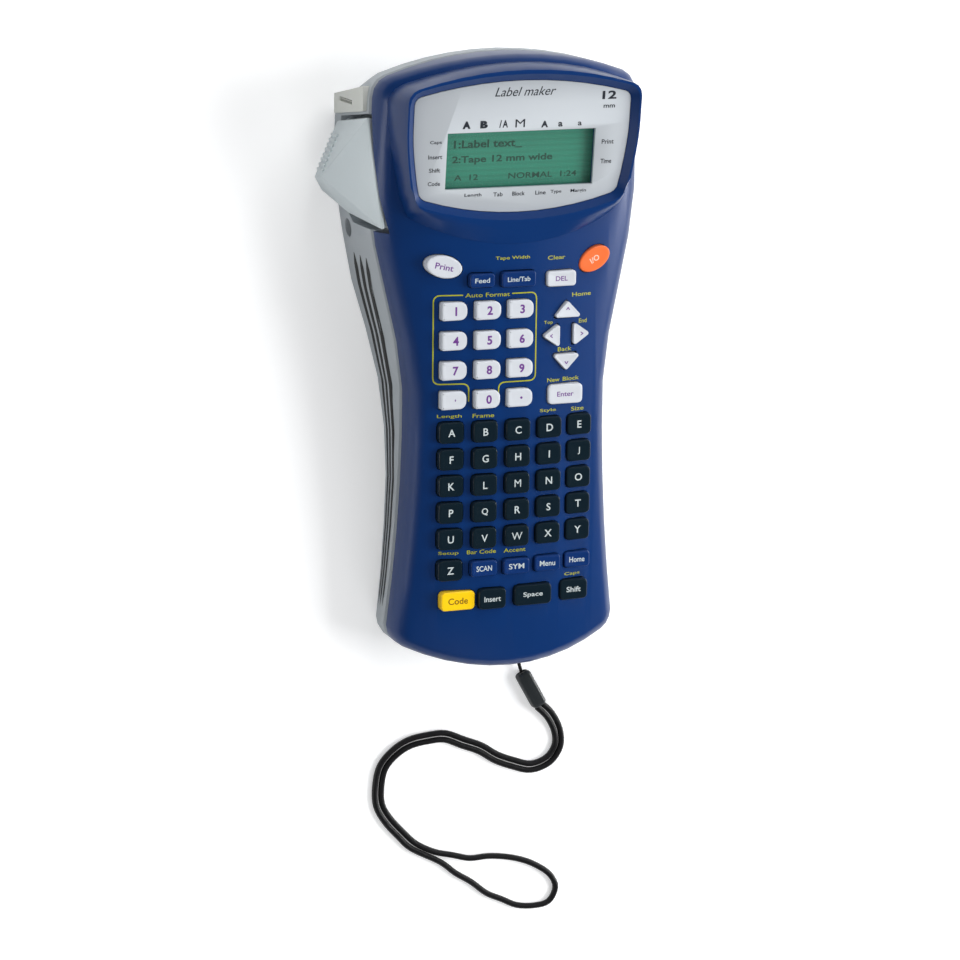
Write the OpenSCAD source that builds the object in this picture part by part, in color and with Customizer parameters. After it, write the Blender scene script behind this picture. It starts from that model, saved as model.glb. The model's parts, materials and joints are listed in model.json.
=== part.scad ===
// Handheld label maker with a wrist strap.
// Each piece is drawn in the device's own frame: +X right, +Y to the head, +Z out of the face,
// with z = 0 on the middle line of the crowned face. lay() then leans it on its back, so that
// the table is z = 0.

/* [Body] */
// Reach of the head end from the middle of the body
head_reach = 109.9; // [109:0.1:111]
// Reach of the foot end from the middle of the body
foot_reach = 113.5; // [112:0.5:118]
// Half of the width across the head
head_half = 50.7; // [50.2:0.1:51.4]
// Half of the width at the corners of the head
head_corner_half = 49.6; // [49.2:0.1:49.8]
// Half of the width across the waist
waist_half = 37.6; // [37.2:0.1:39]
// Half of the width across the foot
foot_half = 43.4; // [43:0.1:44.6]
// Place of the waist along the body
waist_y = -14; // [-18:1:-12]
// Place where the head is widest
head_wide_y = 64; // [60:1:68]
// Radius of the arched head end
head_arc = 131; // [120:1:140]
// Radius of the arched foot end
foot_arc = 90; // [84:1:100]
// Radius of the corners of the outline
corner_r = 8; // [7.5:0.1:8.6]
// Radius of the face across the body
crown_r = 129; // [115:1:160]
// Radius of the rounded edge of the face
edge_r = 6; // [4.5:0.5:7]
// Thickness of the case
wall = 2.2; // [1.6:0.1:2.6]
// Depth of the parting line below the face
seam_depth = 17; // [16.5:0.1:17.5]
// Depth of the handle, face to back
handle_depth = 32; // [31.5:0.1:34]
// Lean of the face when the device lies on its back
lean = 8; // [7:0.1:9]
// Where the deep part behind the head begins
wedge_start = -40; // [-44:1:-36]
// Where the back reaches its full depth
wedge_end = 30; // [27:1:31]
// Slope of the back along the handle, against the face
back_taper = 0.08; // [0.06:0.01:0.1]
// Slope of the rear end face of the head
end_slope = 0.28; // [0.26:0.01:0.3]

/* [Display] */
// Half of the width of the faceplate at its foot
plate_foot_half = 36.8; // [36:0.1:37.4]
// Half of the width of the faceplate at its head
plate_head_half = 40.7; // [40:0.1:41.2]
// Lowest point of the faceplate
plate_low = 54.6; // [54:0.1:56]
// Highest point of the faceplate
plate_high = 101.6; // [100:0.1:102]
// Thickness of the faceplate
plate_t = 1.2; // [0.8:0.1:1.6]
// Height of the faceplate above the face, at the window
plate_rise = 1.5; // [1:0.1:2]
// Lean of the faceplate against the face
plate_lean = 6.75; // [5:0.05:8]
// Depth of the faceplate below the rim
recess = 2.6; // [2:0.1:3]
// Width of the display window
window_w = 55.9; // [50:0.1:58]
// Height of the display window
window_h = 20.2; // [18:0.1:22]
// Place of the display's middle across the body
display_x = -0.6; // [-1:0.1:0]
// Place of the window's middle along the body
window_y = 73.6; // [72:0.1:76]

/* [Keys] */
// Height of the key tops above the face
key_rise = 1.8; // [1.4:0.1:2.4]
// Travel of a key
key_travel = 1.2; // [0.8:0.1:1.4]
// Gap around a key in its hole
key_gap = 0.35; // [0.3:0.01:0.45]
// Pitch of the letter keys across
letter_dx = 12.33; // [12.2:0.01:12.6]
// Pitch of the letter keys along the body
letter_dy = 9.8; // [9.7:0.05:10]
// Place of the top row of letter keys
letter_top = -24; // [-25:0.1:-23]
// Width of a letter key
letter_w = 9.3; // [8.5:0.1:9.6]
// Height of a letter key
letter_h = 7.6; // [7:0.1:7.8]
// Pitch of the number keys across
digit_dx = 12.2; // [12:0.01:12.4]
// Pitch of the number keys along the body
digit_dy = 10.73; // [10.5:0.01:10.9]
// Place of the middle column of number keys
digit_x = -11.8; // [-12.4:0.1:-11.4]
// Place of the top row of number keys
digit_top = 20; // [19.5:0.1:20.4]
// Width of a number key
digit_w = 9.6; // [9:0.1:9.8]
// Height of a number key
digit_h = 6.6; // [6:0.1:7]

/* [Boards] */
// Depth of the front of the main board
board_depth = 12.5; // [12.2:0.1:13]
// Thickness of the main board
board_t = 1.6; // [1.2:0.1:1.8]
// Thickness of the keypad's rubber sheet
mat_t = 1.2; // [1:0.1:1.4]

/* [Battery] */
// Diameter of a cell
cell_d = 14.3; // [13.8:0.1:14.5]
// Length of a cell
cell_len = 50.5; // [49:0.1:50.8]
// Place of the foot end of the cells
cell_low = -101; // [-101.5:0.1:-100]

/* [Tape drive] */
// Depth of the front of the chassis plate
chassis_depth = 29.2; // [28.5:0.1:30]
// Thickness of the chassis plate
chassis_t = 1.8; // [1.4:0.1:2]
// Place of the tape along the body
tape_y = 91; // [90.8:0.1:91.2]
// Width of the tape
tape_w = 12; // [9:0.5:14]
// Radius of the platen roller
platen_r = 2.7; // [2.5:0.1:2.8]
// Module of the gears
gear_m = 0.75; // [0.7:0.01:0.8]
// Thickness of the gears
gear_t = 2.5; // [2:0.1:3]
// Diameter of the motor
motor_d = 16; // [14:0.1:16.5]
// Length of the motor
motor_len = 15; // [12:0.1:16]

/* [Cutter] */
// Reach of the lever from the middle of the body
lever_reach = 60.8; // [58:0.1:63]
// Place of the lever's pivot across the body
pivot_x = -46.3; // [-46.6:0.1:-46]
// Place of the lever's pivot along the body
pivot_y = 81; // [80.5:0.1:81.5]
// Diameter of the lever's pin
pin_d = 2; // [1.6:0.1:2.2]
// Swing of the lever
lever_swing = 6; // [5:0.1:6]

/* [Rear covers] */
// Gap around a cover
cover_gap = 0.3; // [0.25:0.01:0.4]
// Diameter of the hinge pin of the cassette cover
hinge_d = 1.6; // [1.4:0.1:1.8]

/* [Power socket] */
// Bore of the power socket
socket_d = 5.5; // [5:0.1:6]
// Place of the power socket along the body
socket_y = 44.6; // [44:0.1:45]
// Depth of the power socket's middle below the face
socket_depth = 44.3; // [43.5:0.1:44.6]

/* [Wrist strap] */
// Diameter of the strap's cord
strap_d = 2.3; // [2:0.1:2.6]
// Diameter of the strap's string
string_d = 1.4; // [1.2:0.1:1.6]
// Length of the sleeve
sleeve_len = 15; // [13:0.5:16]
// Width of the sleeve
sleeve_w = 5.6; // [5.2:0.1:6.2]

/* [Hidden] */
$fn = 48;

// Small shared clearances
eps = 0.01;
run_fit = 0.05;
slack = 0.3;

// Where the back of the handle meets the table
rest_y = 103;

function smooth(t) = let (u = min(1, max(0, t))) u * u * (3 - 2 * u);
function mix(a, b, t) = a + (b - a) * t;
function crown(x) = sqrt(crown_r * crown_r - x * x) - crown_r;
function rest_z(y) = -handle_depth - tan(lean) * (y + rest_y);
function wedge(y) = smooth((y - wedge_start) / (wedge_end - wedge_start));
function spine_z(y) = -handle_depth - back_taper * (y + rest_y);
function back_z(y) = mix(spine_z(y), rest_z(y), wedge(y));

// The table is z = 0 and the body's box is centred on the origin
lift = rest_y * sin(lean) + handle_depth * cos(lean);
shift_x = (lever_reach - head_half) / 2;
shift_y = ((foot_reach - head_reach) * cos(lean) - (edge_r + seam_depth) * sin(lean)) / 2;
module lay() translate([shift_x, shift_y, lift]) rotate([lean, 0, 0]) children();
function laid(p) = [
    p.x + shift_x,
    p.y * cos(lean) - p.z * sin(lean) + shift_y,
    p.y * sin(lean) + p.z * cos(lean) + lift];

// Half outlines run up the right side, from the foot's middle to the head's middle
function corner_low(y, r, c, w) = y + r - sqrt(pow(r - c, 2) - pow(w - c, 2));
function corner_high(y, r, c, w) = y - r + sqrt(pow(r - c, 2) - pow(w - c, 2));
function arc(cx, cy, r, a, b, n) =
    [for (i = [0:n]) let (t = mix(a, b, i / n)) [cx + r * cos(t), cy + r * sin(t)]];
function tail(list) = [for (i = [1:len(list) - 1]) list[i]];
// An outline's numbers: lowest point, arc, corner radius and half width at the foot, the same
// at the head, and the half width in between. shield() draws it set in by e at the foot and
// by f at the head.
function shield(s, e = 0, f = undef) = let (
    g = f == undef ? e : f,
    low_r = s[1] - e,
    low_c = max(s[2] - e, 1),
    low_w = s[3] - e,
    high_r = s[5] - g,
    high_c = max(s[6] - g, 1),
    high_w = s[7] - g,
    y0 = corner_low(s[0] + e, low_r, low_c, low_w),
    y1 = corner_high(s[4] - g, high_r, high_c, high_w),
    a0 = atan2(y0 - s[0] - e - low_r, low_w - low_c),
    a1 = atan2(y1 - s[4] + g + high_r, high_w - high_c),
    run = 11)
    concat(
        arc(0, s[0] + e + low_r, low_r, -90, a0, 5),
        tail(arc(low_w - low_c, y0, low_c, a0, 0, 3)),
        [for (i = [1:run - 1]) let (y = mix(y0, y1, i / run))
            [s[8](y) - mix(e, g, e == g ? 0 : wedge(y)), y]],
        arc(high_w - high_c, y1, high_c, 0, a1, 3),
        tail(arc(0, s[4] - g - high_r, high_r, a1, 90, 5)));

foot_corner = corner_low(-foot_reach, foot_arc, corner_r, foot_half);
head_corner = corner_high(head_reach, head_arc, corner_r, head_corner_half);
function body_half(y) = y < waist_y
    ? mix(waist_half, foot_half, pow((waist_y - y) / (waist_y - foot_corner), 2))
    : y < head_wide_y
    ? mix(waist_half, head_half, smooth((y - waist_y) / (head_wide_y - waist_y)))
    : mix(head_half, head_corner_half, pow((y - head_wide_y) / (head_corner - head_wide_y), 2));
body_form = [-foot_reach, foot_arc, corner_r, foot_half,
    head_reach, head_arc, corner_r, head_corner_half, function (y) body_half(y)];

function plate_half(y) = mix(plate_foot_half, plate_head_half,
    smooth((y - plate_low + 5) / 36));
plate_form = [plate_low, 118, 4, plate_half(plate_low + 8),
    plate_high, 156, 3, plate_head_half, function (y) plate_half(y)];

// The raised rim, where it meets the face and at its crest
rim_out = 3.2;
rim_foot_form = [43.4, 83, 6, 41, 107.6, 118, 8, 46.2,
    function (y) mix(41, 46.2, smooth((y - 46) / 46))];
rim_crest_form = [plate_low - 4.6, 100, 6, plate_foot_half + rim_out,
    plate_high + 4, 144, 5, plate_head_half + rim_out,
    function (y) mix(plate_foot_half, plate_head_half, smooth((y - 48) / 38)) + rim_out];

function whole(side) = let (m = len(side) - 1)
    concat(side, [for (i = [m - 1:-1:1]) [-side[i].x, side[i].y]]);
function ring(side, z) = [for (p = whole(side)) [p.x, p.y, is_num(z) ? z : z(p.x, p.y)]];

// A closed skin through rings, listed from the lowest to the highest
module loft(rings) {
    n = len(rings[0]);
    m = n / 2;
    top = (len(rings) - 1) * n;
    points = [for (r = rings) each r];
    sides = [for (j = [0:len(rings) - 2]) for (i = [0:n - 1]) let (
        a = j * n + i,
        b = j * n + (i + 1) % n)
        each [[a, b + n, b], [a, a + n, b + n]]];
    low_cap = [for (j = [0:m - 1]) each concat(
        j + 1 < m ? [[j, j + 1, n - j - 1]] : [],
        j > 0 ? [[j, (n - j - 1) % n, n - j]] : [])];
    high_cap = [for (f = low_cap) [top + f[2], top + f[1], top + f[0]]];
    polyhedron(points, concat(sides, low_cap, high_cap));
}

module outline(side) polygon(whole(side));
module face_drum(r) translate([0, 0, -crown_r]) rotate([90, 0, 0])
    cylinder(r = r, h = 3 * head_reach, center = true, $fn = 96);

// Rounded rectangle, D shape, oval and arrow, each as a polygon
function rounded(w, h, r) = [for (q = [[1, 1, 0], [-1, 1, 90], [-1, -1, 180], [1, -1, 270]])
    each arc(q[0] * (w / 2 - r), q[1] * (h / 2 - r), r, q[2], q[2] + 90, 2)];
function d_shape(w, h) = concat(
    arc(w / 2 - h * 0.45, h / 2 - h * 0.4, h * 0.4, 90, 0, 4),
    arc(w / 2 - h * 0.45, h * 0.4 - h / 2, h * 0.4, 0, -90, 4),
    arc(0.8 - w / 2, 0.8 - h / 2, 0.8, 270, 180, 2),
    arc(0.8 - w / 2, h / 2 - 0.8, 0.8, 180, 90, 2));
function oval(w, h, n = 18) = [for (i = [0:n - 1]) [w / 2 * cos(i * 360 / n), h / 2 * sin(i * 360 / n)]];
function arrow(w, h, r = 0.8) = concat(
    arc(0, h / 2 - r * 1.9, r, 150, 30, 3),
    arc(w / 2 - r * 1.7, r - h / 2, r, 30, -90, 3),
    arc(r * 1.7 - w / 2, r - h / 2, r, 270, 150, 3));

// One key: its middle, its turn, and the shape of its cap and of its hole
function letter_x(i) = (i - 2) * letter_dx;
function letter_y(j) = letter_top - j * letter_dy;
function digit_at(i, j) = [digit_x + (i - 1) * digit_dx, digit_top - j * digit_dy];
last_y = letter_top - 5.18 * letter_dy;
low_y = letter_top - 6.34 * letter_dy;
function spot(at, w, h, kind, turn = 0) = [at, w, h, kind, turn];
function letter_spots(j) = [for (i = [0:4]) spot([letter_x(i), letter_y(j)], letter_w, letter_h, "letter")];
function digit_spots(j) = [for (i = [0:2]) spot(digit_at(i, j), digit_w, digit_h, "digit")];
print_spot = [spot([-27.8, 36], 13.8, 8, "oval", -13)];
feed_spot = [spot([-14.2, 30.8], 9.4, 5, "bar")];
line_spot = [spot([-0.6, 30.8], 13, 5.6, "bar")];
clear_spot = [spot([16.2, 30], 11.2, 5.6, "bar")];
power_spot = [spot([29.9, 36], 12.8, 8, "oval", 30)];
up_spot = [spot([19, 18.9], 10.4, 6.4, "arrow", 0)];
down_spot = [spot([18.7, -0.8], 10.4, 6.4, "arrow", 180)];
left_spot = [spot([12.4, 9.4], 6.6, 8.6, "arrow", 90)];
right_spot = [spot([25, 9.3], 6.6, 8.6, "arrow", -90)];
enter_spot = [spot([18.5, -12.2], 13.4, 7.2, "letter")];
last_letter_spot = [spot([letter_x(0), last_y], letter_w, letter_h, "letter")];
function_spots = [for (i = [1:4]) spot([letter_x(i), last_y + 0.3], 10, 5.8, "bar")];
code_spot = [spot([-21.8, low_y], 13, 7, "letter")];
space_spot = [spot([6.7, low_y + 0.4], 14.4, 7.6, "letter")];
shift_spots = [
    spot([-9, low_y + 0.1], 10.4, 7.6, "letter"),
    spot([23.5, low_y + 0.5], 10.8, 7.6, "letter")];
all_spots = concat(
    print_spot, feed_spot, line_spot, clear_spot, power_spot, up_spot, down_spot, left_spot,
    right_spot, enter_spot, [for (j = [0:3]) each digit_spots(j)],
    [for (j = [0:4]) each letter_spots(j)], last_letter_spot, function_spots, code_spot,
    space_spot, shift_spots);

module key_shape(k, grow = 0) {
    w = k[1] + 2 * grow;
    h = k[2] + 2 * grow;
    side_on = k[4] == 90 || k[4] == -90;
    translate(k[0]) rotate(k[4]) {
        if (k[3] == "letter") polygon(rounded(w, h, 1.6 + grow));
        if (k[3] == "bar") polygon(rounded(w, h, 1.2 + grow));
        if (k[3] == "oval") polygon(oval(w, h));
        if (k[3] == "digit") polygon(d_shape(w, h));
        if (k[3] == "arrow") polygon(side_on ? arrow(h + grow, w + grow) : arrow(w + grow, h + grow));
    }
}

// Keys slide in the face on a flange under it, and press the keypad with a stem
key_flange = 0.8;
flange_t = 0.9;
mat_front = -board_depth + mat_t;
dome_h = 0.5;
stem_foot = mat_front + dome_h + key_travel + 0.2;
function flange_top(k) = let (reach = abs(k[0].x) + k[1] / 2 + key_flange + 0.6)
    crown(reach) - wall - slack;
module key(k) {
    top = crown(abs(k[0].x)) + key_rise;
    turned = k[4] == 90 || k[4] == -90;
    foot = [turned ? k[1] : k[1], k[2]];
    flange = flange_top(k);
    translate([0, 0, flange - eps]) linear_extrude(top - flange + eps) key_shape(k);
    translate([k[0].x, k[0].y, flange - flange_t / 2])
        cube([foot.x + 2 * key_flange, foot.y + 2 * key_flange, flange_t], center = true);
    translate([k[0].x, k[0].y, stem_foot]) cylinder(r = 1.6, h = flange - flange_t / 2 - stem_foot);
}
module keys(spots) lay() for (k = spots) key(k);

// Case screws and chassis screws
boss_r = 3.2;
screw_d = 2.6;
screw_head_d = 5;
screw_head_t = 1.8;
screw_len = 12;
case_seat = seam_depth + 4.5;
case_screw_spots = [
    for (s = [-1, 1]) each [[s * 36, -88], [s * 37.5, 22]]];
chassis_back = -chassis_depth - chassis_t;
chassis_spots = [[-36.5, 34], [41, 38], [43, 88], [5, 98.2]];
post_r = 2.8;
chassis_screw_len = 6;
module screw(at, seat, len, up) translate([at.x, at.y, seat]) mirror([0, 0, up ? 0 : 1]) {
    cylinder(d = screw_d, h = len);
    translate([0, 0, -screw_head_t]) difference() {
        cylinder(d = screw_head_d, h = screw_head_t);
        translate([0, 0, -eps]) cylinder(d = 2, h = 1, $fn = 6);
    }
}

// Pocket in the left flank for the cutter lever
liner_t = 1.6;
pocket_low = 47.5;
pocket_back = -50.2;
pocket_back_low = 57;
pocket_corner = -38;
lever_inner = -46.5;
liner_x = lever_inner + (pivot_y - pocket_low) * sin(lever_swing) + 0.5;
pocket_front_low = -9;
pocket_front_high = -16.2;
pocket_high = 88.6;
pocket_high_back = 84.4;
module pocket(grow = 0) translate([liner_x + grow, 0, 0]) rotate([0, -90, 0]) linear_extrude(40)
    polygon([
        [pocket_back - grow, pocket_back_low - grow],
        [pocket_corner - grow, pocket_low - grow],
        [pocket_front_low + grow, pocket_low - grow],
        [pocket_front_high + grow, pocket_high + grow],
        [-20, pocket_high + grow],
        [pocket_back - grow, pocket_high_back + grow]]);
arm_back = -47.5;
arm_front = -33.5;
module arm_slot() translate([liner_x - 1, 78.5, arm_back - 1])
    cube([liner_t + 2, 12.5, arm_front - arm_back + 2]);
pin_low = -52;
pin_high = -13.2;
module lever_axis(d, low, high) translate([pivot_x, pivot_y, low]) cylinder(d = d, h = high - low);

// Power socket behind the flank
socket_x = -45.5;
socket_r = socket_d / 2 + 0.9;
socket_bore = 9;

// Block beside the lever where the tape comes out
block_front = -22;
block_back = -53.5;
block_out = 0.6;
module exit_prism(grow = 0) translate([-45.6 + grow, 0, 0]) rotate([0, -90, 0])
    linear_extrude(head_half + block_out - 45.6 + 2 * grow)
        polygon([
            [block_back, 84.9], [block_front, 89.2],
            [block_front, 98.2], [block_back, 92.2]]);
module tape_slot(grow = 0) translate([-60, tape_y - 0.7 - grow, -40.5 - tape_w / 2 - 0.8 - grow])
    cube([20, 1.4 + 2 * grow, tape_w + 1.6 + 2 * grow]);

// ---- Front case ----
module front_skin() {
    fillet = [0, 24, 44, 62];
    reach = edge_r * (1 - cos(62)) + 3.4;
    intersection() {
        loft(concat(
            [ring(shield(body_form), -seam_depth)],
            [for (a = fillet) ring(shield(body_form, edge_r * (1 - cos(a))),
                function (x, y) crown(x) - edge_r * (1 - sin(a)))],
            [ring(shield(body_form, reach), function (x, y) crown(x) + 1.1),
             ring(shield(body_form, reach), 6)]));
        face_drum(crown_r);
    }
}
function plate_level(y) = plate_rise + (y - window_y) * tan(plate_lean);
module on_plate() translate([display_x, window_y, plate_rise]) rotate([plate_lean, 0, 0]) children();
module rim() {
    foot_side = shield(rim_foot_form);
    crest_side = shield(rim_crest_form);
    mid = [for (i = [0:len(foot_side) - 1]) mix(foot_side[i], crest_side[i], 0.72)];
    crest = function (x, y) plate_level(y) + recess;
    translate([display_x, 0, 0]) loft([
        ring(shield(rim_foot_form, 1), -12.2),
        ring(foot_side, function (x, y) crown(x + display_x) + 0.2),
        ring(mid, function (x, y) mix(crown(x + display_x), crest(x, y), 0.86)),
        ring(crest_side, crest)]);
}
floor_t = 1.2;
module rim_cuts() {
    bevel = 2.6;
    translate([display_x, 0, 0]) loft([
        ring(shield(plate_form, -0.2), function (x, y) plate_level(y) - plate_t),
        ring(shield(plate_form, -0.2), function (x, y) plate_level(y)),
        ring(shield(plate_form, -bevel), function (x, y) plate_level(y) + recess + 0.02),
        ring(shield(plate_form, -bevel), 20)]);
    translate([display_x, 0, 0]) loft([
        ring(shield(plate_form, 1.6), -10),
        ring(shield(plate_form, 1.6), function (x, y) plate_level(y) - plate_t - floor_t)]);
    on_plate() cube([window_w + 0.5, window_h + 0.5, 12], center = true);
}
side_wall = wall + 0.8;
pad_y = [-60, -14, 12];
module front_case() color([0.09, 0.2, 0.42]) lay() difference() {
    union() {
        front_skin();
        rim();
    }
    difference() {
        intersection() {
            translate([0, 0, -seam_depth - 1]) linear_extrude(seam_depth + 6)
                outline(shield(body_form, side_wall));
            face_drum(crown_r - wall);
        }
        for (p = case_screw_spots) translate([p.x, p.y, -seam_depth]) cylinder(r = boss_r, h = seam_depth);
        for (y = pad_y) for (s = [-1, 1])
            translate([s * (body_half(y) - 5.9), y, -board_depth]) cylinder(r = 1.2, h = board_depth);
        intersection() {
            pocket(liner_t);
            translate([-70, 0, -seam_depth]) cube([70, 120, seam_depth]);
        }
    }
    rim_cuts();
    for (k = all_spots)
        translate([0, 0, -board_depth + 1.5]) linear_extrude(board_depth + 3) key_shape(k, key_gap);
    for (p = case_screw_spots) translate([p.x, p.y, -seam_depth - eps])
        cylinder(d = screw_d + 0.1, h = screw_len - case_seat + seam_depth + 1);
    pocket();
    lever_axis(pin_d + 2 * run_fit, -seam_depth - 1, pin_high + 0.2);
}

// ---- Rear case ----
function rear_round(y) = mix(1, 0.2, wedge(y));
groove_deep = 1.2;
groove_wide = 2.2;
// The grip swells out behind the groove
grip_bulge = 2.2;
function bulge(y) = grip_bulge * smooth((y + 48) / 55) * smooth((52 - y) / 34);
function gripped(side) = [for (p = side) [p.x + bulge(p.y), p.y]];
function sloped(side, z) = [for (p = side) [p.x, p.y - end_slope * (-seam_depth - z(p.x, p.y)) * smooth((p.y - 58) / 42)]];
function rear_ring(e, up, deeper = 0) = let (
    side = gripped(shield(body_form, deeper + e, deeper + e * rear_round(head_wide_y))),
    z = function (x, y) back_z(y) + deeper + up * rear_round(y))
    ring(sloped(side, z), function (x, y) z(x, y));
module rear_solid(deeper = 0) loft([
    rear_ring(13, 0, deeper),
    rear_ring(7, 0.5, deeper),
    rear_ring(2.5, 1.5, deeper),
    rear_ring(0.5, 3.2, deeper),
    ring(gripped(shield(body_form, deeper)), -seam_depth - 9),
    ring(shield(body_form, deeper), deeper == 0 ? -seam_depth - groove_wide - 0.6 : -seam_depth + 1),
    if (deeper == 0) each [
        ring(shield(body_form, groove_deep), -seam_depth - groove_wide),
        ring(shield(body_form, groove_deep), -seam_depth)]]);
cell_count = 3;
cell_pitch = cell_d + 0.6;
cell_z = -board_depth - board_t - 0.6 - cell_d / 2;
bay_half = cell_pitch * cell_count / 2 + 0.4;
bay_wall = 1.8;
cover_half = bay_half + 0.5;
bay_low = cell_low - 2.2;
bay_high = cell_low + 2 * cell_len + 2.8;
module battery_window(grow = 0)
    translate([-cover_half - grow, bay_low - 0.5 - grow, -handle_depth - 16])
        cube([2 * (cover_half + grow), bay_high - bay_low + 1 + 2 * grow, 16 + wall + 5]);
module on_table(y) translate([0, y, rest_z(y)]) rotate([-lean, 0, 0]) children();
hinge_y = 47;
door_low = 2.6;
door_high = 47.4;
door_half = 37;
door_x = 3;
hinge_z = 1.9;
knuckle_r = 1.7;
knuckle_len = 9;
knuckles = [-28, 28];
module door_window(grow = 0) on_table(hinge_y) {
    translate([door_x - door_half - grow, door_low - grow, -2])
        cube([2 * (door_half + grow), door_high - door_low + 2 * grow, 7]);
    if (grow > 0) for (x = knuckles)
        translate([door_x + x - knuckle_len / 2 - 0.4, -2.2, -2]) cube([knuckle_len + 0.8, door_low + 2.4, 7]);
}
module hinge_line(x, len, d) on_table(hinge_y) translate([x - len / 2, 0, hinge_z])
    rotate([0, 90, 0]) cylinder(d = d, h = len);
strap_x = 10;
strap_bar_y = -108.6;
module strap_recess() translate([strap_x - 4.5, -120, -28.2]) cube([9, 14.8, 6.4]);
module rear_posts() {
    for (p = case_screw_spots) translate([p.x, p.y, -80]) cylinder(r = boss_r, h = 80 - seam_depth);
    for (p = chassis_spots) translate([p.x, p.y, -80]) cylinder(r = post_r, h = 80 + chassis_back);
    // Walls of the battery bay
    for (s = [-1, 1]) translate([s * (bay_half + bay_wall / 2) - bay_wall / 2, bay_low - bay_wall, -80])
        cube([bay_wall, bay_high - bay_low + 2 * bay_wall, 80 + cell_z + 3]);
    for (y = [bay_low - bay_wall, bay_high]) translate([-bay_half - eps, y, -80])
        cube([2 * (bay_half + eps), bay_wall, 80 + cell_z + 3]);
    // Saddles under the power socket
    for (x = [1, 7]) translate([socket_x + x, socket_y - 2.5, -80])
        cube([1.4, 5, 80 - socket_depth - socket_r - 0.1]);
    // Liner of the lever's pocket, the seat of the tape block and the backing of the strap recess
    intersection() {
        pocket(liner_t);
        translate([-70, 0, -80]) cube([70, 120, 80 - seam_depth]);
    }
    translate([-60, 82, -80]) cube([60 + liner_x + liner_t, 18, 80 - seam_depth - 1]);
    translate([strap_x - 6.5, -120, -80]) cube([13, 16.4, 80 - seam_depth - 1]);
    for (x = knuckles) on_table(hinge_y)
        translate([door_x + x - knuckle_len / 2 - 4, -3.8, 0]) cube([knuckle_len + 8, 6, 6.5]);
}
module rear_case() color([0.62, 0.65, 0.66]) lay() difference() {
    rear_solid();
    difference() {
        rear_solid(wall);
        rear_posts();
    }
    pocket();
    arm_slot();
    exit_prism(run_fit);
    translate([14, 0, 0]) tape_slot(0.4);
    translate([platen_at.x, platen_at.y, roller_back - 0.5]) cylinder(r = platen_r + 0.6, h = 20);
    lever_axis(pin_d + 2 * run_fit, pin_low, -seam_depth + 1);
    battery_window(cover_gap);
    door_window(cover_gap);
    for (x = knuckles) hinge_line(door_x + x, knuckle_len + 6, hinge_d + 2 * run_fit);
    difference() {
        strap_recess();
        translate([strap_x, strap_bar_y, -40]) cylinder(r = 1.3, h = 30);
    }
    for (p = case_screw_spots) {
        translate([p.x, p.y, -80]) cylinder(d = screw_head_d + 0.8, h = 80 - case_seat);
        translate([p.x, p.y, -case_seat - 1]) cylinder(d = screw_d + 0.5, h = 10);
    }
    for (p = chassis_spots) translate([p.x, p.y, chassis_back - chassis_screw_len + chassis_t - 0.5])
        cylinder(d = screw_d + 0.1, h = chassis_screw_len);
    translate([-60, socket_y, -socket_depth]) rotate([0, 90, 0]) cylinder(d = socket_d + 1.2, h = 16);
}

// ---- Display ----
module faceplate() color([0.8, 0.83, 0.83]) lay() difference() {
    translate([display_x, 0, 0]) loft([
        ring(shield(plate_form), function (x, y) plate_level(y) - plate_t),
        ring(shield(plate_form), function (x, y) plate_level(y))]);
    on_plate() cube([window_w, window_h, 6], center = true);
}
glass_t = 0.9;
panel_t = 2.6;
holder_t = 2.4;
glass_z = -plate_t - floor_t;
module slab(w, h, top, t) translate([-w / 2, -h / 2, top - t]) cube([w, h, t]);
module lcd_window() color([0.7, 0.85, 0.8, 0.4]) lay() on_plate()
    slab(window_w + 5, window_h + 5, glass_z, glass_t);
module lcd_panel() color([0.24, 0.5, 0.42]) lay() on_plate()
    slab(window_w + 6, window_h + 7, glass_z - glass_t, panel_t);
module lcd_holder() color("white") lay() on_plate() difference() {
    slab(window_w + 7, window_h + 7, glass_z - glass_t - panel_t, holder_t);
    slab(window_w - 6, window_h - 4, glass_z, 20);
}

// ---- Boards ----
board_high = 101;
board_low = -99.5;
module board_plan(e, low, high) difference() {
    intersection() {
        outline(shield(body_form, e));
        translate([-60, low]) square([120, high - low]);
    }
    for (p = case_screw_spots) translate(p) circle(r = boss_r + 0.9);
    translate([-60, 43]) square([60 + liner_x + liner_t + 0.9, 60]);
}
module main_board() color([0.1, 0.4, 0.25]) lay()
    translate([0, 0, -board_depth - board_t]) linear_extrude(board_t)
        board_plan(4.5, board_low, board_high);
module keypad_mat() color([0.75, 0.76, 0.74]) lay() {
    translate([0, 0, -board_depth]) linear_extrude(mat_t) board_plan(7.6, -95, 42.5);
    for (k = all_spots) translate([k[0].x, k[0].y, mat_front - eps]) cylinder(r = 2, h = dome_h + eps);
}

// ---- Screws ----
module screws() color("silver") lay() {
    for (p = case_screw_spots) screw(p, -case_seat, screw_len, true);
    for (p = chassis_spots) screw(p, -chassis_depth, chassis_screw_len, false);
}

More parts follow.
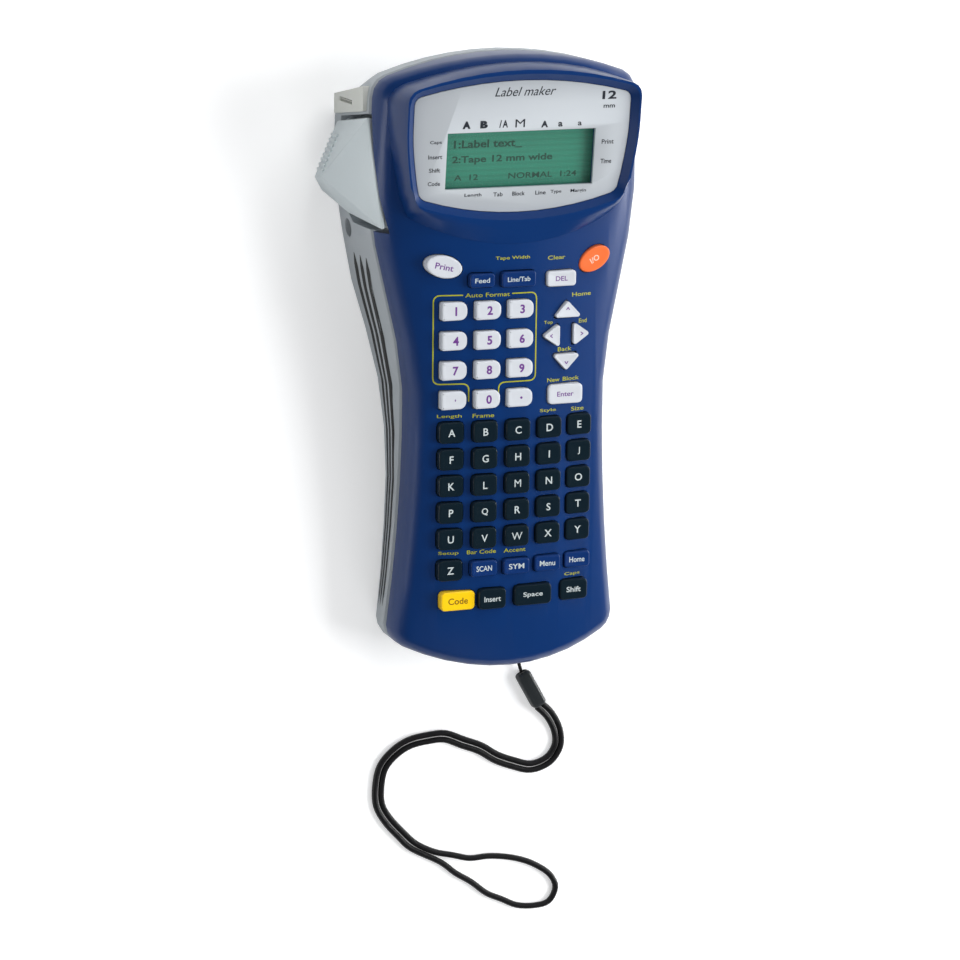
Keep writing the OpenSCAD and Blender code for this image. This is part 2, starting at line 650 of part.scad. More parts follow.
// ---- Battery ----
cell_spots = [for (i = [0:cell_count - 1]) for (j = [0, 1])
    [(i - (cell_count - 1) / 2) * cell_pitch, cell_low + j * (cell_len + 0.2), (i + j) % 2]];
module battery_cells() color([0.2, 0.25, 0.3]) lay() for (c = cell_spots)
    translate([c.x, c.y + cell_len / 2, cell_z]) mirror([0, c[2], 0]) rotate([90, 0, 0])
        translate([0, 0, -cell_len / 2]) {
            cylinder(d = cell_d, h = cell_len - 1.5);
            cylinder(d = 5.3, h = cell_len);
        }
module battery_contacts() color("silver") lay() for (y = [bay_low, bay_high - 0.5])
    for (i = [0:cell_count - 1]) translate([(i - (cell_count - 1) / 2) * cell_pitch, y, cell_z]) {
        translate([-5.5, 0, -5.5]) cube([11, 0.5, 11]);
        translate([0, y > 0 ? 0 : 0.5, 0]) rotate([y > 0 ? 90 : -90, 0, 0]) cylinder(r = 3, h = 1.4);
    }
module battery_cover() color([0.55, 0.58, 0.6]) lay() {
    intersection() {
        difference() {
            rear_solid();
            rear_solid(wall);
        }
        battery_window();
    }
}

// ---- Cassette cover on its hinge ----
door_t = 2;
door_raise = 0.25;
// Set back of the hinged edge, so that it swings clear of the shell
door_swing = 0.5;
module cassette_cover() color([0.55, 0.58, 0.6]) lay() difference() {
    on_table(hinge_y) {
        translate([door_x - door_half, door_low + door_swing, door_raise])
            cube([2 * door_half, door_high - door_low - door_swing, door_t]);
        for (x = knuckles) {
            translate([door_x + x - knuckle_len / 2, 0, hinge_z]) rotate([0, 90, 0])
                cylinder(r = knuckle_r - 0.05, h = knuckle_len);
            translate([door_x + x - knuckle_len / 2, 0, door_raise])
                cube([knuckle_len, door_low + 1, door_t]);
        }
        // Ribs that hold the cassette down
        for (x = [-16, 16]) translate([door_x + x - 0.8, 12, door_raise + door_t - eps])
            cube([1.6, 30, 1.2]);
    }
    for (x = knuckles) hinge_line(door_x + x, knuckle_len + 2, hinge_d + 2 * run_fit);
}
module cover_hinge_pin() color("silver") lay()
    for (x = knuckles) hinge_line(door_x + x, knuckle_len + 5, hinge_d);

// ---- Tape drive ----
motor_at = [-24, 40];
platen_at = [-27, tape_y + 0.1 + slack + platen_r];
pinion_teeth = 12;
idler_teeth = 32;
platen_teeth = 16;
function pitch_r(teeth) = gear_m * teeth / 2;
function bearing(a, b) = atan2(b.y - a.y, b.x - a.x);
function polar(r, a) = [r * cos(a), r * sin(a)];
low_bearing = 75;
idler_low_at = motor_at + polar(pitch_r(pinion_teeth) + pitch_r(idler_teeth), low_bearing);
to_platen = norm(platen_at - idler_low_at);
reach_a = 2 * pitch_r(idler_teeth);
reach_b = pitch_r(idler_teeth) + pitch_r(platen_teeth);
high_bearing = bearing(idler_low_at, platen_at)
    - acos((reach_a * reach_a + to_platen * to_platen - reach_b * reach_b) / (2 * reach_a * to_platen));
idler_high_at = idler_low_at + polar(reach_a, high_bearing);
platen_bearing = bearing(idler_high_at, platen_at);
gear_foot = -chassis_depth + slack;
shaft_d = 2;

// A gear with a tooth pointing at the angle given
module gear(at, teeth, tooth_angle, bore) {
    r = pitch_r(teeth);
    step = 360 / teeth;
    profile = [[-0.29, -0.95], [-0.2, 0], [-0.11, 0.55], [0.11, 0.55], [0.2, 0], [0.29, -0.95]];
    translate([at.x, at.y, gear_foot]) difference() {
        linear_extrude(gear_t) polygon([for (i = [0:teeth - 1]) for (p = profile)
            polar(r + p[1] * gear_m, tooth_angle + (i + p[0]) * step)]);
        translate([0, 0, -1]) cylinder(d = bore, h = gear_t + 2);
    }
}
pinion_phase = low_bearing;
idler_low_phase = low_bearing + 180 + 180 / idler_teeth;
// The upper idler has a gap where the lower idler's nearest tooth meets it
low_offset = (high_bearing - idler_low_phase) * idler_teeth / 360;
idler_high_phase = high_bearing + 180 + (0.5 + low_offset) * 360 / idler_teeth;
high_offset = (platen_bearing - idler_high_phase) * idler_teeth / 360;
platen_phase = platen_bearing + 180 + (0.5 + high_offset) * 360 / platen_teeth;

module chassis_plate() color([0.7, 0.72, 0.74]) lay() {
    difference() {
        translate([0, 0, chassis_back]) linear_extrude(chassis_t) polygon([
            [-40, 31], [41, 31], [45.5, 60], [46, 89], [36, 96], [12, 100.5], [-30, 98],
            [-38.5, 94.5], [-40, 90]]);
        for (p = chassis_spots) translate([p.x, p.y, -40]) cylinder(d = screw_d + 0.4, h = 20);
        translate([motor_at.x, motor_at.y, -40]) cylinder(d = 5, h = 20);
        translate([platen_at.x, platen_at.y, -40]) cylinder(d = shaft_d + 2 * run_fit, h = 20);
    }
    for (p = [idler_low_at, idler_high_at]) translate([p.x, p.y, -chassis_depth - eps])
        cylinder(d = shaft_d, h = gear_t + 2 * slack);
}
module motor() color([0.6, 0.6, 0.62]) lay() translate([motor_at.x, motor_at.y, chassis_back - motor_len]) {
    cylinder(d = motor_d, h = motor_len);
    translate([0, 0, -0.8]) cylinder(d = 5, h = 1);
}
module motor_pinion() color("gold") lay() {
    gear(motor_at, pinion_teeth, pinion_phase, 1.5);
    translate([motor_at.x, motor_at.y, chassis_back + 0.2])
        cylinder(d = 1.5, h = gear_t + chassis_t + slack + 0.4);
}
module idler_gear_low() color("white") lay() gear(idler_low_at, idler_teeth, idler_low_phase, shaft_d + 2 * run_fit);
module idler_gear_high() color("white") lay() gear(idler_high_at, idler_teeth, idler_high_phase, shaft_d + 2 * run_fit);
module platen_gear() color("white") lay() gear(platen_at, platen_teeth, platen_phase, shaft_d);
roller_back = -48;
roller_front = chassis_back - 0.8;
module platen_shaft() color("silver") lay() translate([platen_at.x, platen_at.y, roller_back])
    cylinder(d = shaft_d, h = gear_foot + gear_t - roller_back);
module platen_roller() color([0.15, 0.15, 0.15]) lay() translate([platen_at.x, platen_at.y, roller_back + 0.5])
    difference() {
        cylinder(r = platen_r, h = roller_front - roller_back - 0.5);
        translate([0, 0, -1]) cylinder(d = shaft_d, h = 40);
    }
head_back = -48;
module print_head() color([0.7, 0.7, 0.72]) lay() {
    translate([-31.5, 86.6, head_back]) cube([10, 3, chassis_back - head_back]);
    translate([-30, 89.6, head_back + 1]) cube([6, 0.9, chassis_back - head_back - 3]);
}
module cutter_anvil() color("silver") lay()
    translate([-38.6, tape_y + 0.6, arm_back - 0.5]) cube([4.4, 1.4, chassis_back - arm_back + 0.5]);

// ---- Tape cassette ----
cassette_low = 50.5;
cassette_high = 93;
cassette_left = -33;
cassette_right = 37;
cassette_back = -50;
cassette_front = chassis_back - 0.3;
spool_at = [16, 70];
module cassette_plan(e) polygon([
    [cassette_left + e, cassette_low + e], [cassette_right - e, cassette_low + e],
    [cassette_right - e, cassette_high - e], [-18 + e, cassette_high - e],
    [-18 + e, 83 - e], [cassette_left + e, 83 - e]]);
module tape_cassette() color([0.85, 0.85, 0.83]) lay() {
    difference() {
        translate([0, 0, cassette_back]) linear_extrude(cassette_front - cassette_back) cassette_plan(0);
        translate([0, 0, cassette_back + 1.2]) linear_extrude(cassette_front - cassette_back - 2.4)
            cassette_plan(1.2);
        translate([-25, tape_y - 0.6, -40.5 - tape_w / 2 - 0.5]) cube([12, 1.2, tape_w + 1]);
    }
    translate([spool_at.x, spool_at.y, cassette_back + 1]) cylinder(r = 3.4, h = cassette_front - cassette_back - 2);
}
module tape_spool() color("white") lay()
    translate([spool_at.x, spool_at.y, -40.5 - tape_w / 2]) difference() {
        cylinder(r = 17, h = tape_w);
        translate([0, 0, -1]) cylinder(r = 3.4 + run_fit, h = tape_w + 2);
    }
module label_tape() color("white") lay()
    translate([-50.5, tape_y - 0.1, -40.5 - tape_w / 2]) cube([34, 0.2, tape_w]);

// ---- Tape exit and cutter ----
module tape_exit_block() color([0.85, 0.84, 0.78]) lay() difference() {
    exit_prism();
    tape_slot();
}
lever_ball = 0.9;
lever_skin = lever_inner - lever_ball;
lever_form = [
    [-50.6, 86.6, -18.4], [-47.6, 49.8, -11], [1.4 - lever_reach, 64, -41],
    [1.4 - lever_reach, 63, -48], [-57, 58.6, -48], [-51.2, 82.6, -40],
    [-51.2, 82, -48], [-53, 53, -31], [-53, 53.5, -34],
    [lever_skin, 85.6, -19], [lever_skin, 50.2, -12], [lever_skin, 82, -48], [lever_skin, 52, -37]];
module lever_hull(grow = 0) hull() for (p = lever_form) translate(p) sphere(r = lever_ball + grow, $fn = 10);
rib_count = 8;
spring_d = 5;
spring_low = -27.5;
spring_high = -22.5;
module cutter_lever() color([0.76, 0.8, 0.8]) lay() difference() {
    union() {
        lever_hull();
        lever_axis(5.6, -48.5, -19.5);
        // Arm that carries the blade
        translate([0, 0, arm_back]) linear_extrude(arm_front - arm_back) polygon([
            [pivot_x + 1.2, pivot_y - 1.8], [-40.2, 82.6], [-34.8, 87.2], [-34.8, 88.4], [-37.4, 88.4],
            [-41.6, 85], [pivot_x + 0.6, pivot_y + 2.4]]);
        // Thumb ribs on the outer edge
        intersection() {
            lever_hull(0.5);
            for (i = [0:rib_count - 1]) let (t = (i + 0.5) / rib_count)
                translate([mix(-53.6, 0.6 - lever_reach, t), mix(79, 65.4, t), -44.5])
                    rotate([0, 0, -28]) cube([6, 0.9, 7.4], center = true);
        }
    }
    lever_axis(pin_d + 2 * run_fit, -60, -10);
    lever_axis(spring_d + 1, spring_low - 0.5, spring_high + 0.5);
}
module cutter_blade() color("silver") lay() translate([0, 0, arm_back + 0.5])
    linear_extrude(arm_front - arm_back - 1) polygon([[-36.6, 88.4], [-35.4, 88.4], [-35.4, 89], [-36, 89.7], [-36.6, 89]]);
module lever_pin() color("silver") lay() lever_axis(pin_d, pin_low, pin_high);
module lever_spring() color("silver") lay() difference() {
    lever_axis(spring_d, spring_low, spring_high);
    lever_axis(pin_d + 0.6, spring_low - 1, spring_high + 1);
}

// ---- Power socket ----
module power_socket() color([0.12, 0.12, 0.12]) lay()
    translate([socket_x, socket_y, -socket_depth]) rotate([0, 90, 0]) difference() {
        cylinder(r = socket_r, h = socket_bore + 1.5);
        translate([0, 0, -eps]) difference() {
            cylinder(d = socket_d, h = socket_bore);
            translate([0, 0, 1.2]) cylinder(d = 2, h = socket_bore);
        }
    }

// ---- Wrist strap, lying on the table ----
// Middle line of the strap where its two legs run side by side
strap_run = [
    [26, -132], [30, -136], [33, -142], [33, -148], [29, -153], [22, -155], [15, -153],
    [8, -150], [2, -146], [-5, -143], [-12, -140], [-19, -140], [-26, -141], [-32, -144],
    [-37, -149], [-39, -156], [-39, -163], [-36, -169], [-31, -175], [-26, -180]];
// The hand loop, out along its upper side and back along its lower side
strap_loop = [
    [-18, -183], [-11, -185], [-4, -187], [3, -187], [10, -188], [17, -190], [23, -193],
    [28, -197], [30, -202], [27, -207], [21, -208], [14, -207], [8, -204], [2, -201],
    [-4, -196], [-10, -192], [-16, -187]];
strap_gap = 0.2;
strap_z = strap_d / 2 + 0.05;
sleeve_from = [19, -118.5];
sleeve_dir = (strap_run[0] - sleeve_from) / norm(strap_run[0] - sleeve_from);
sleeve_to = sleeve_from + sleeve_dir * sleeve_len;
sleeve_z = sleeve_w / 2 - 0.3;
function unit(v) = v / norm(v);
function leg(i, s) = let (
    last = len(strap_run) - 1,
    t = unit(strap_run[min(last, i + 1)] - strap_run[max(0, i - 1)]),
    p = i == 0 ? sleeve_to : strap_run[i],
    d = s * (strap_d + strap_gap) / 2)
    [p.x - (i == 0 ? sleeve_dir.y : t.y) * d, p.y + (i == 0 ? sleeve_dir.x : t.x) * d,
     i == 0 ? sleeve_z : i == 1 ? (sleeve_z + strap_z) / 2 : strap_z];
strap_path = concat(
    [for (i = [0:len(strap_run) - 1]) leg(i, 1)],
    [for (p = strap_loop) [p.x, p.y, strap_z]],
    [for (i = [len(strap_run) - 1:-1:0]) leg(i, -1)]);
module tube(path, r, sides = 8) {
    last = len(path) - 1;
    rings = [for (i = [0:last]) let (
        t = unit(path[min(last, i + 1)] - path[max(0, i - 1)]),
        flat = unit([t.x, t.y, 0]),
        across = [-flat.y, flat.x, 0],
        up = cross(t, across))
        [for (k = [0:sides - 1]) let (a = (k + 0.5) * 360 / sides)
            path[i] + r * cos(a) * across + r * sin(a) * up]];
    points = [for (g = rings) each g];
    walls = [for (i = [0:last - 1]) for (k = [0:sides - 1]) let (
        a = i * sides + k,
        b = i * sides + (k + 1) % sides)
        each [[a, b + sides, b], [a, a + sides, b + sides]]];
    polyhedron(points, concat(walls,
        [[for (k = [0:sides - 1]) k]],
        [[for (k = [sides - 1:-1:0]) last * sides + k]]));
}
module strap_cord() color([0.06, 0.06, 0.06]) tube(strap_path, strap_d / 2);
module strap_sleeve() color([0.25, 0.26, 0.27]) translate([sleeve_from.x, sleeve_from.y, sleeve_z])
    rotate([0, 0, atan2(sleeve_dir.y, sleeve_dir.x)]) difference() {
        translate([0, 0, -sleeve_z + 0.05]) linear_extrude(2 * sleeve_z - 0.1)
            translate([sleeve_len / 2, 0]) polygon(rounded(sleeve_len, sleeve_w, 1.4));
    }
string_from = laid([strap_x, strap_bar_y - 1.3 - string_d / 2 - 0.1, -25]);
module strap_string() color([0.06, 0.06, 0.06]) tube([
    string_from,
    mix(string_from, [sleeve_from.x, sleeve_from.y, sleeve_z], 0.45),
    [sleeve_from.x, sleeve_from.y, sleeve_z]], string_d / 2);

// ---- Keys ----
white_key = [0.9, 0.92, 0.92];
dark_key = [0.1, 0.13, 0.14];
blue_key = [0.12, 0.25, 0.5];
module print_key() color(white_key) keys(print_spot);
module feed_key() color(blue_key) keys(feed_spot);
module line_key() color(blue_key) keys(line_spot);
module clear_key() color(white_key) keys(clear_spot);
module power_key() color([0.95, 0.45, 0.2]) keys(power_spot);
module up_key() color(white_key) keys(up_spot);
module down_key() color(white_key) keys(down_spot);
module left_key() color(white_key) keys(left_spot);
module right_key() color(white_key) keys(right_spot);
module enter_key() color(white_key) keys(enter_spot);
module digit_row(j) color(white_key) keys(digit_spots(j));
module letter_row(j) color(dark_key) keys(letter_spots(j));
module last_letter_key() color(dark_key) keys(last_letter_spot);
module function_keys() color(blue_key) keys(function_spots);
module code_key() color([0.95, 0.75, 0.1]) keys(code_spot);
module space_key() color(dark_key) keys(space_spot);
module shift_keys() color(dark_key) keys(shift_spots);

front_case();
rear_case();
faceplate();
lcd_window();
lcd_panel();
lcd_holder();
main_board();
keypad_mat();
screws();
battery_cells();
battery_contacts();
battery_cover();
cassette_cover();
cover_hinge_pin();
chassis_plate();
motor();
motor_pinion();
idler_gear_low();
idler_gear_high();
platen_gear();
platen_shaft();
platen_roller();
print_head();
tape_cassette();
tape_spool();
label_tape();
tape_exit_block();
cutter_lever();
cutter_blade();
cutter_anvil();
lever_pin();
lever_spring();
power_socket();
strap_string();
strap_sleeve();
strap_cord();
print_key();
feed_key();
line_key();
clear_key();
power_key();
up_key();
down_key();
left_key();
right_key();
enter_key();
digit_row(0);  // digit_row_1
digit_row(1);  // digit_row_2
digit_row(2);  // digit_row_3
digit_row(3);  // digit_row_4
letter_row(0);  // letter_row_1
letter_row(1);  // letter_row_2
letter_row(2);  // letter_row_3
letter_row(3);  // letter_row_4
letter_row(4);  // letter_row_5
last_letter_key();
function_keys();
code_key();
space_key();
shift_keys();
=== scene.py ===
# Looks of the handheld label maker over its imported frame
# Sizes and places are in millimetres and angles in degrees, unless a note says otherwise
import math
import json
import bpy
from mathutils import Matrix, Vector

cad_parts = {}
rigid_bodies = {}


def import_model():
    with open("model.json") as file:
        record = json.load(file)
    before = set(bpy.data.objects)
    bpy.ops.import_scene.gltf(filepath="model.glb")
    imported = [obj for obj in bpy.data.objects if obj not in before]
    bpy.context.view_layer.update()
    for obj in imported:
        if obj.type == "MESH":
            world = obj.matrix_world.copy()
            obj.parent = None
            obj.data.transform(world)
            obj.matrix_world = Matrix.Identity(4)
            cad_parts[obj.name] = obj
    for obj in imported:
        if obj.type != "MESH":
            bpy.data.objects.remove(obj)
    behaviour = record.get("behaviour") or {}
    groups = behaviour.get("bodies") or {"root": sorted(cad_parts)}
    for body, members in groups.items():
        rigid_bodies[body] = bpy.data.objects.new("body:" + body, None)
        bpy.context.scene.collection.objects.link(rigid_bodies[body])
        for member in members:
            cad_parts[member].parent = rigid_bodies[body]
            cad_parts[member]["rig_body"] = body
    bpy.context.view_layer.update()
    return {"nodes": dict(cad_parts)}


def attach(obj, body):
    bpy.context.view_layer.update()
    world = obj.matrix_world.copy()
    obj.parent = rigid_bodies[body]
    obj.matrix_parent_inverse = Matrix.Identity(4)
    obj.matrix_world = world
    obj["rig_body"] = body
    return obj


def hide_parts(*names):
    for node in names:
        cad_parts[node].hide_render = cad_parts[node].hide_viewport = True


mm = 0.001

for leftover in list(bpy.data.objects):
    bpy.data.objects.remove(leftover)
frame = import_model()
print("frame loaded")


def placeAt(x, y, z):
    return Matrix.Translation(Vector((x, y, z)) * mm)


def turnBy(degrees, axis):
    return Matrix.Rotation(math.radians(degrees), 4, axis)


# How the label maker lies on the table: face up, its head end a little higher
lie = {"lean": 8.0, "shift": (5.05, 0.182, 46.0234), "crownRadius": 129.0}
deviceToWorld = placeAt(*lie["shift"]) @ turnBy(lie["lean"], "X")


def crown(x):
    # height of the curved face at x
    r = lie["crownRadius"]
    return math.sqrt(r * r - x * x) - r


cameraSettings = {
    "turn": 21.393,
    "rise": 13.273,
    "roll": 0.681,
    "distance": 1200.2,
    "across": -13.005,
    "up": -41.797,
    "lens": 126.02,
    "sensor": 36,
    "clip": (0.05, 20),  # metres
}


def makeCamera(settings):
    turn, rise, roll = (math.radians(settings[k]) for k in ("turn", "rise", "roll"))
    back = Vector((-math.sin(turn) * math.cos(rise), math.sin(rise), math.cos(turn) * math.cos(rise)))
    right = Vector((math.cos(turn), 0, math.sin(turn)))
    up = back.cross(right)
    place = (back * settings["distance"] + right * settings["across"] + up * settings["up"]) * mm
    xAxis = math.cos(roll) * right + math.sin(roll) * up
    yAxis = -math.sin(roll) * right + math.cos(roll) * up
    local = Matrix((
        (xAxis.x, yAxis.x, back.x, place.x),
        (xAxis.y, yAxis.y, back.y, place.y),
        (xAxis.z, yAxis.z, back.z, place.z),
        (0, 0, 0, 1),
    ))
    data = bpy.data.cameras.new("deskCamera")
    data.lens = settings["lens"]
    data.sensor_width = settings["sensor"]
    data.clip_start, data.clip_end = settings["clip"]
    camera = bpy.data.objects.new("deskCamera", data)
    bpy.context.scene.collection.objects.link(camera)
    camera.matrix_world = deviceToWorld @ local
    bpy.context.scene.camera = camera


makeCamera(cameraSettings)
print("camera placed")


# Small tools for modelling
def leaveAll():
    if bpy.context.object and bpy.context.object.mode != "OBJECT":
        bpy.ops.object.mode_set(mode="OBJECT")
    bpy.ops.object.select_all(action="DESELECT")


def workOn(obj):
    leaveAll()
    obj.select_set(True)
    bpy.context.view_layer.objects.active = obj


def openEdit(obj, mode, picked):
    # edit mode, with only those faces or vertices selected that are picked
    workOn(obj)
    everything = {"VERT": obj.data.vertices, "EDGE": obj.data.edges, "FACE": obj.data.polygons}
    for kind, elements in everything.items():
        elements.foreach_set("select", [kind == mode and bool(picked(e)) for e in elements])
    bpy.ops.object.mode_set(mode="EDIT")
    bpy.ops.mesh.select_mode(type=mode)


def editFaces(obj, picked=lambda face: True):
    openEdit(obj, "FACE", picked)


def editVertices(obj, picked):
    openEdit(obj, "VERT", lambda vertex: picked(vertex.co))


def backToObject():
    bpy.ops.object.mode_set(mode="OBJECT")


def sizeTo(obj, x, y, z=1):
    # gives a primitive of size 1 its real size
    obj.scale = Vector((x, y, z)) * mm
    bpy.ops.object.transform_apply(location=False, rotation=False, scale=True)


def shadeSmooth(degrees):
    # smooth shading, where sharper edges than this stay crisp
    bpy.ops.object.shade_smooth_by_angle(angle=math.radians(degrees))


def joinAll(parts, name):
    leaveAll()
    for part in parts:
        part.select_set(True)
    bpy.context.view_layer.objects.active = parts[0]
    if len(parts) > 1:
        bpy.ops.object.join()
    joined = bpy.context.object
    joined.name = name
    joined.data.name = name
    return joined


def copyOf(obj):
    twin = obj.copy()
    twin.data = obj.data.copy()
    bpy.context.scene.collection.objects.link(twin)
    return twin


def setDown(obj, matrix):
    # puts the place into the mesh, so that the object itself stays at the origin
    obj.data.transform(matrix @ obj.matrix_world)
    obj.matrix_world = Matrix.Identity(4)
    obj.data.update()


def removeAll(parts):
    for part in parts:
        bpy.data.objects.remove(part)


def paint(obj, material):
    obj.data.materials.clear()
    obj.data.materials.append(material)


def standFor(piece, node, material):
    # the piece takes the CAD node's place, on the node's body
    paint(piece, material)
    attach(piece, frame["nodes"][node]["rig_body"])
    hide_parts(node)


def layOn(parts, name, material, body="root"):
    # print, and the painted shade of the grip grooves, which stand for no CAD node
    piece = joinAll(parts, name)
    paint(piece, material)
    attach(piece, body)


# Small tools for materials
def feed(tree, node, sources):
    # each input, by name or number, takes a fixed value or a link from another node
    for label, source in sources.items():
        if isinstance(source, bpy.types.NodeSocket):
            tree.links.new(source, node.inputs[label])
        else:
            node.inputs[label].default_value = source


def addNode(tree, kind, sources):
    node = tree.nodes.new("ShaderNode" + kind)
    feed(tree, node, sources)
    return node


def ownPlace(tree):
    # the piece's own coordinates
    return addNode(tree, "TexCoord", {}).outputs["Object"]


def noise(tree, vector, scale, detail=2):
    return addNode(tree, "TexNoise", {"Vector": vector, "Scale": scale, "Detail": detail}).outputs["Fac"]


def remapped(tree, value, limits):
    return addNode(tree, "MapRange", {"Value": value, **limits}).outputs["Result"]


def computed(tree, operation, *sources):
    node = tree.nodes.new("ShaderNodeMath")
    node.operation = operation
    feed(tree, node, dict(enumerate(sources)))
    return node.outputs[0]


def mixed(tree, amount, first, second, blend="MIX"):
    node = tree.nodes.new("ShaderNodeMix")
    node.data_type = "RGBA"
    node.blend_type = blend
    feed(tree, node, {0: amount, 6: first, 7: second})
    return node.outputs[2]


def newMaterial(name):
    material = bpy.data.materials.new(name)
    material.use_nodes = True
    return material, material.node_tree, material.node_tree.nodes["Principled BSDF"]


def newGroup(name, inputs):
    # a shared effect that puts out a colour, a roughness and a height
    group = bpy.data.node_groups.new(name, "ShaderNodeTree")
    for label, value in inputs.items():
        kind = "NodeSocketColor" if isinstance(value, tuple) else "NodeSocketFloat"
        group.interface.new_socket(name=label, in_out="INPUT", socket_type=kind).default_value = value
    for label, kind in (("Colour", "Color"), ("Roughness", "Float"), ("Height", "Float")):
        group.interface.new_socket(name=label, in_out="OUTPUT", socket_type="NodeSocket" + kind)
    return group, group.nodes.new("NodeGroupInput").outputs, group.nodes.new("NodeGroupOutput")


def plain(*seen):
    # red, green and blue as seen, 0 to 255, made the shares of light given back
    shares = [v / 255 for v in seen]
    return (*(v / 12.92 if v < 0.04045 else ((v + 0.055) / 1.055) ** 2.4 for v in shares), 1)


mouldingLook = {
    "cloudScale": 38,
    # sharp convex edges, found by pointiness, are paled towards this colour: a painted edge highlight
    "highlightedEdge": {"From Min": 0.53, "From Max": 0.62},
    "edgeHighlightColour": (0.75, 0.78, 0.8, 1),
}


def moulding(look):
    # moulded plastic: a fine skin, slow changes of shade, and sharp edges paled as a painted highlight
    tree, given, result = newGroup("moulding", {
        "Colour": (0.5, 0.5, 0.5, 1),
        "Shade": (0.4, 0.4, 0.4, 1),
        "Grain": 2600.0,
        "Base Roughness": 0.3,
        "Spread": 0.1,
        "Wear": 0.1,
    })
    place = ownPlace(tree)
    skin = noise(tree, place, given["Grain"], 3)
    cloud = noise(tree, place, look["cloudScale"], 4)
    tone = mixed(tree, cloud, given["Colour"], given["Shade"])
    # pointiness pales the sharp edges towards a light grey, as a painted highlight
    edge = remapped(tree, addNode(tree, "NewGeometry", {}).outputs["Pointiness"], look["highlightedEdge"])
    paintedEdgeLight = computed(tree, "MULTIPLY", edge, given["Wear"])
    feed(tree, result, {
        "Colour": mixed(tree, paintedEdgeLight, tone, look["edgeHighlightColour"]),
        "Roughness": computed(tree, "MULTIPLY_ADD", cloud, given["Spread"], given["Base Roughness"]),
        "Height": skin,
    })
    return tree


brushingLook = {"stretch": (1, 0.05, 1), "scratchTone": (0.72, 0.72, 0.74, 1), "spread": 0.18}


def brushing(look):
    # drawn or rolled metal: fine scratches along one way and a clouded gloss
    tree, given, result = newGroup("brushing", {
        "Colour": (0.6, 0.6, 0.6, 1),
        "Scratches": 1500.0,
        "Base Roughness": 0.3,
    })
    along = addNode(tree, "Mapping", {"Vector": ownPlace(tree), "Scale": look["stretch"]})
    lines = noise(tree, along.outputs["Vector"], given["Scratches"])
    feed(tree, result, {
        "Colour": mixed(tree, lines, given["Colour"], look["scratchTone"], "MULTIPLY"),
        "Roughness": computed(tree, "MULTIPLY_ADD", lines, look["spread"], given["Base Roughness"]),
        "Height": lines,
    })
    return tree


mouldingGroup = moulding(mouldingLook)
brushingGroup = brushing(brushingLook)


def finish(name, group, values, metallic=0.0, bump=0.05, depth=0.00003, coat=0.0, coatRough=0.1, shine=0.5):
    # a material round a shared effect; the bump's depth is in metres
    material, tree, shader = newMaterial(name)
    effect = tree.nodes.new("ShaderNodeGroup")
    effect.node_tree = group
    feed(tree, effect, values)
    raised = addNode(tree, "Bump", {"Strength": bump, "Distance": depth, "Height": effect.outputs["Height"]})
    feed(tree, shader, {
        "Base Color": effect.outputs["Colour"],
        "Roughness": effect.outputs["Roughness"],
        "Normal": raised.outputs["Normal"],
        "Metallic": metallic,
        "Coat Weight": coat,
        "Coat Roughness": coatRough,
        "Specular IOR Level": shine,
    })
    return material


# the last amount says how far sharp edges are paled, a painted edge highlight
def plastic(name, colour, shade, rough=0.32, spread=0.1, grain=2600.0, edgeHighlight=0.1, **more):
    values = {
        "Colour": plain(*colour), "Shade": plain(*shade), "Grain": grain,
        "Base Roughness": rough, "Spread": spread, "Wear": edgeHighlight,
    }
    return finish(name, mouldingGroup, values, **more)


def ink(name, colour, shade, rough=0.5):
    return plastic(name, colour, shade, rough, 0.05, edgeHighlight=0.0)


def metal(name, colour, scratches=1500.0, rough=0.25):
    values = {"Colour": plain(*colour), "Scratches": scratches, "Base Roughness": rough}
    return finish(name, brushingGroup, values, metallic=1.0)


# Outside
bodyBlue = plastic("bodyBlue", (3, 49, 108), (2, 43, 97), 0.26, 0.08, edgeHighlight=0.0,
                   coat=0.1, coatRough=0.12, shine=0.4)
rearGrey = plastic("rearGrey", (176, 183, 188), (160, 167, 173), 0.36, 0.12, bump=0.12)
coverGrey = plastic("coverGrey", (168, 175, 180), (152, 159, 165), 0.42, 0.12, bump=0.12)
plateSilver = plastic("plateSilver", (210, 216, 221), (200, 206, 212), 0.34, 0.1, 5200.0, 0.05,
                      metallic=0.35, bump=0.1)
leverSilver = plastic("leverSilver", (214, 224, 227), (202, 213, 217), 0.3, 0.12, edgeHighlight=0.25, metallic=0.1)
exitBeige = plastic("exitBeige", (220, 222, 216), (206, 209, 203), 0.4)
socketBlack = plastic("socketBlack", (30, 31, 33), (20, 21, 23), 0.5)

# Keys
keyWhite = plastic("keyWhite", (208, 212, 218), (198, 202, 209), 0.36, edgeHighlight=0.0)
keyDark = plastic("keyDark", (8, 28, 38), (5, 22, 32), 0.26, edgeHighlight=0.02, shine=0.4)
keyBlue = plastic("keyBlue", (8, 48, 108), (6, 42, 96), 0.26, edgeHighlight=0.02, shine=0.4)
keyOrange = plastic("keyOrange", (244, 118, 62), (238, 104, 50), 0.36, 0.08)
keyYellow = plastic("keyYellow", (250, 206, 14), (245, 196, 8), 0.36, 0.08)

# Strap
strapBlack = plastic("strapBlack", (20, 20, 22), (12, 12, 14), 0.36, 0.16, 3800.0, 0.0,
                     bump=0.6, depth=0.0001)
sleeveGrey = plastic("sleeveGrey", (42, 46, 48), (30, 34, 36), 0.24, edgeHighlight=0.12)

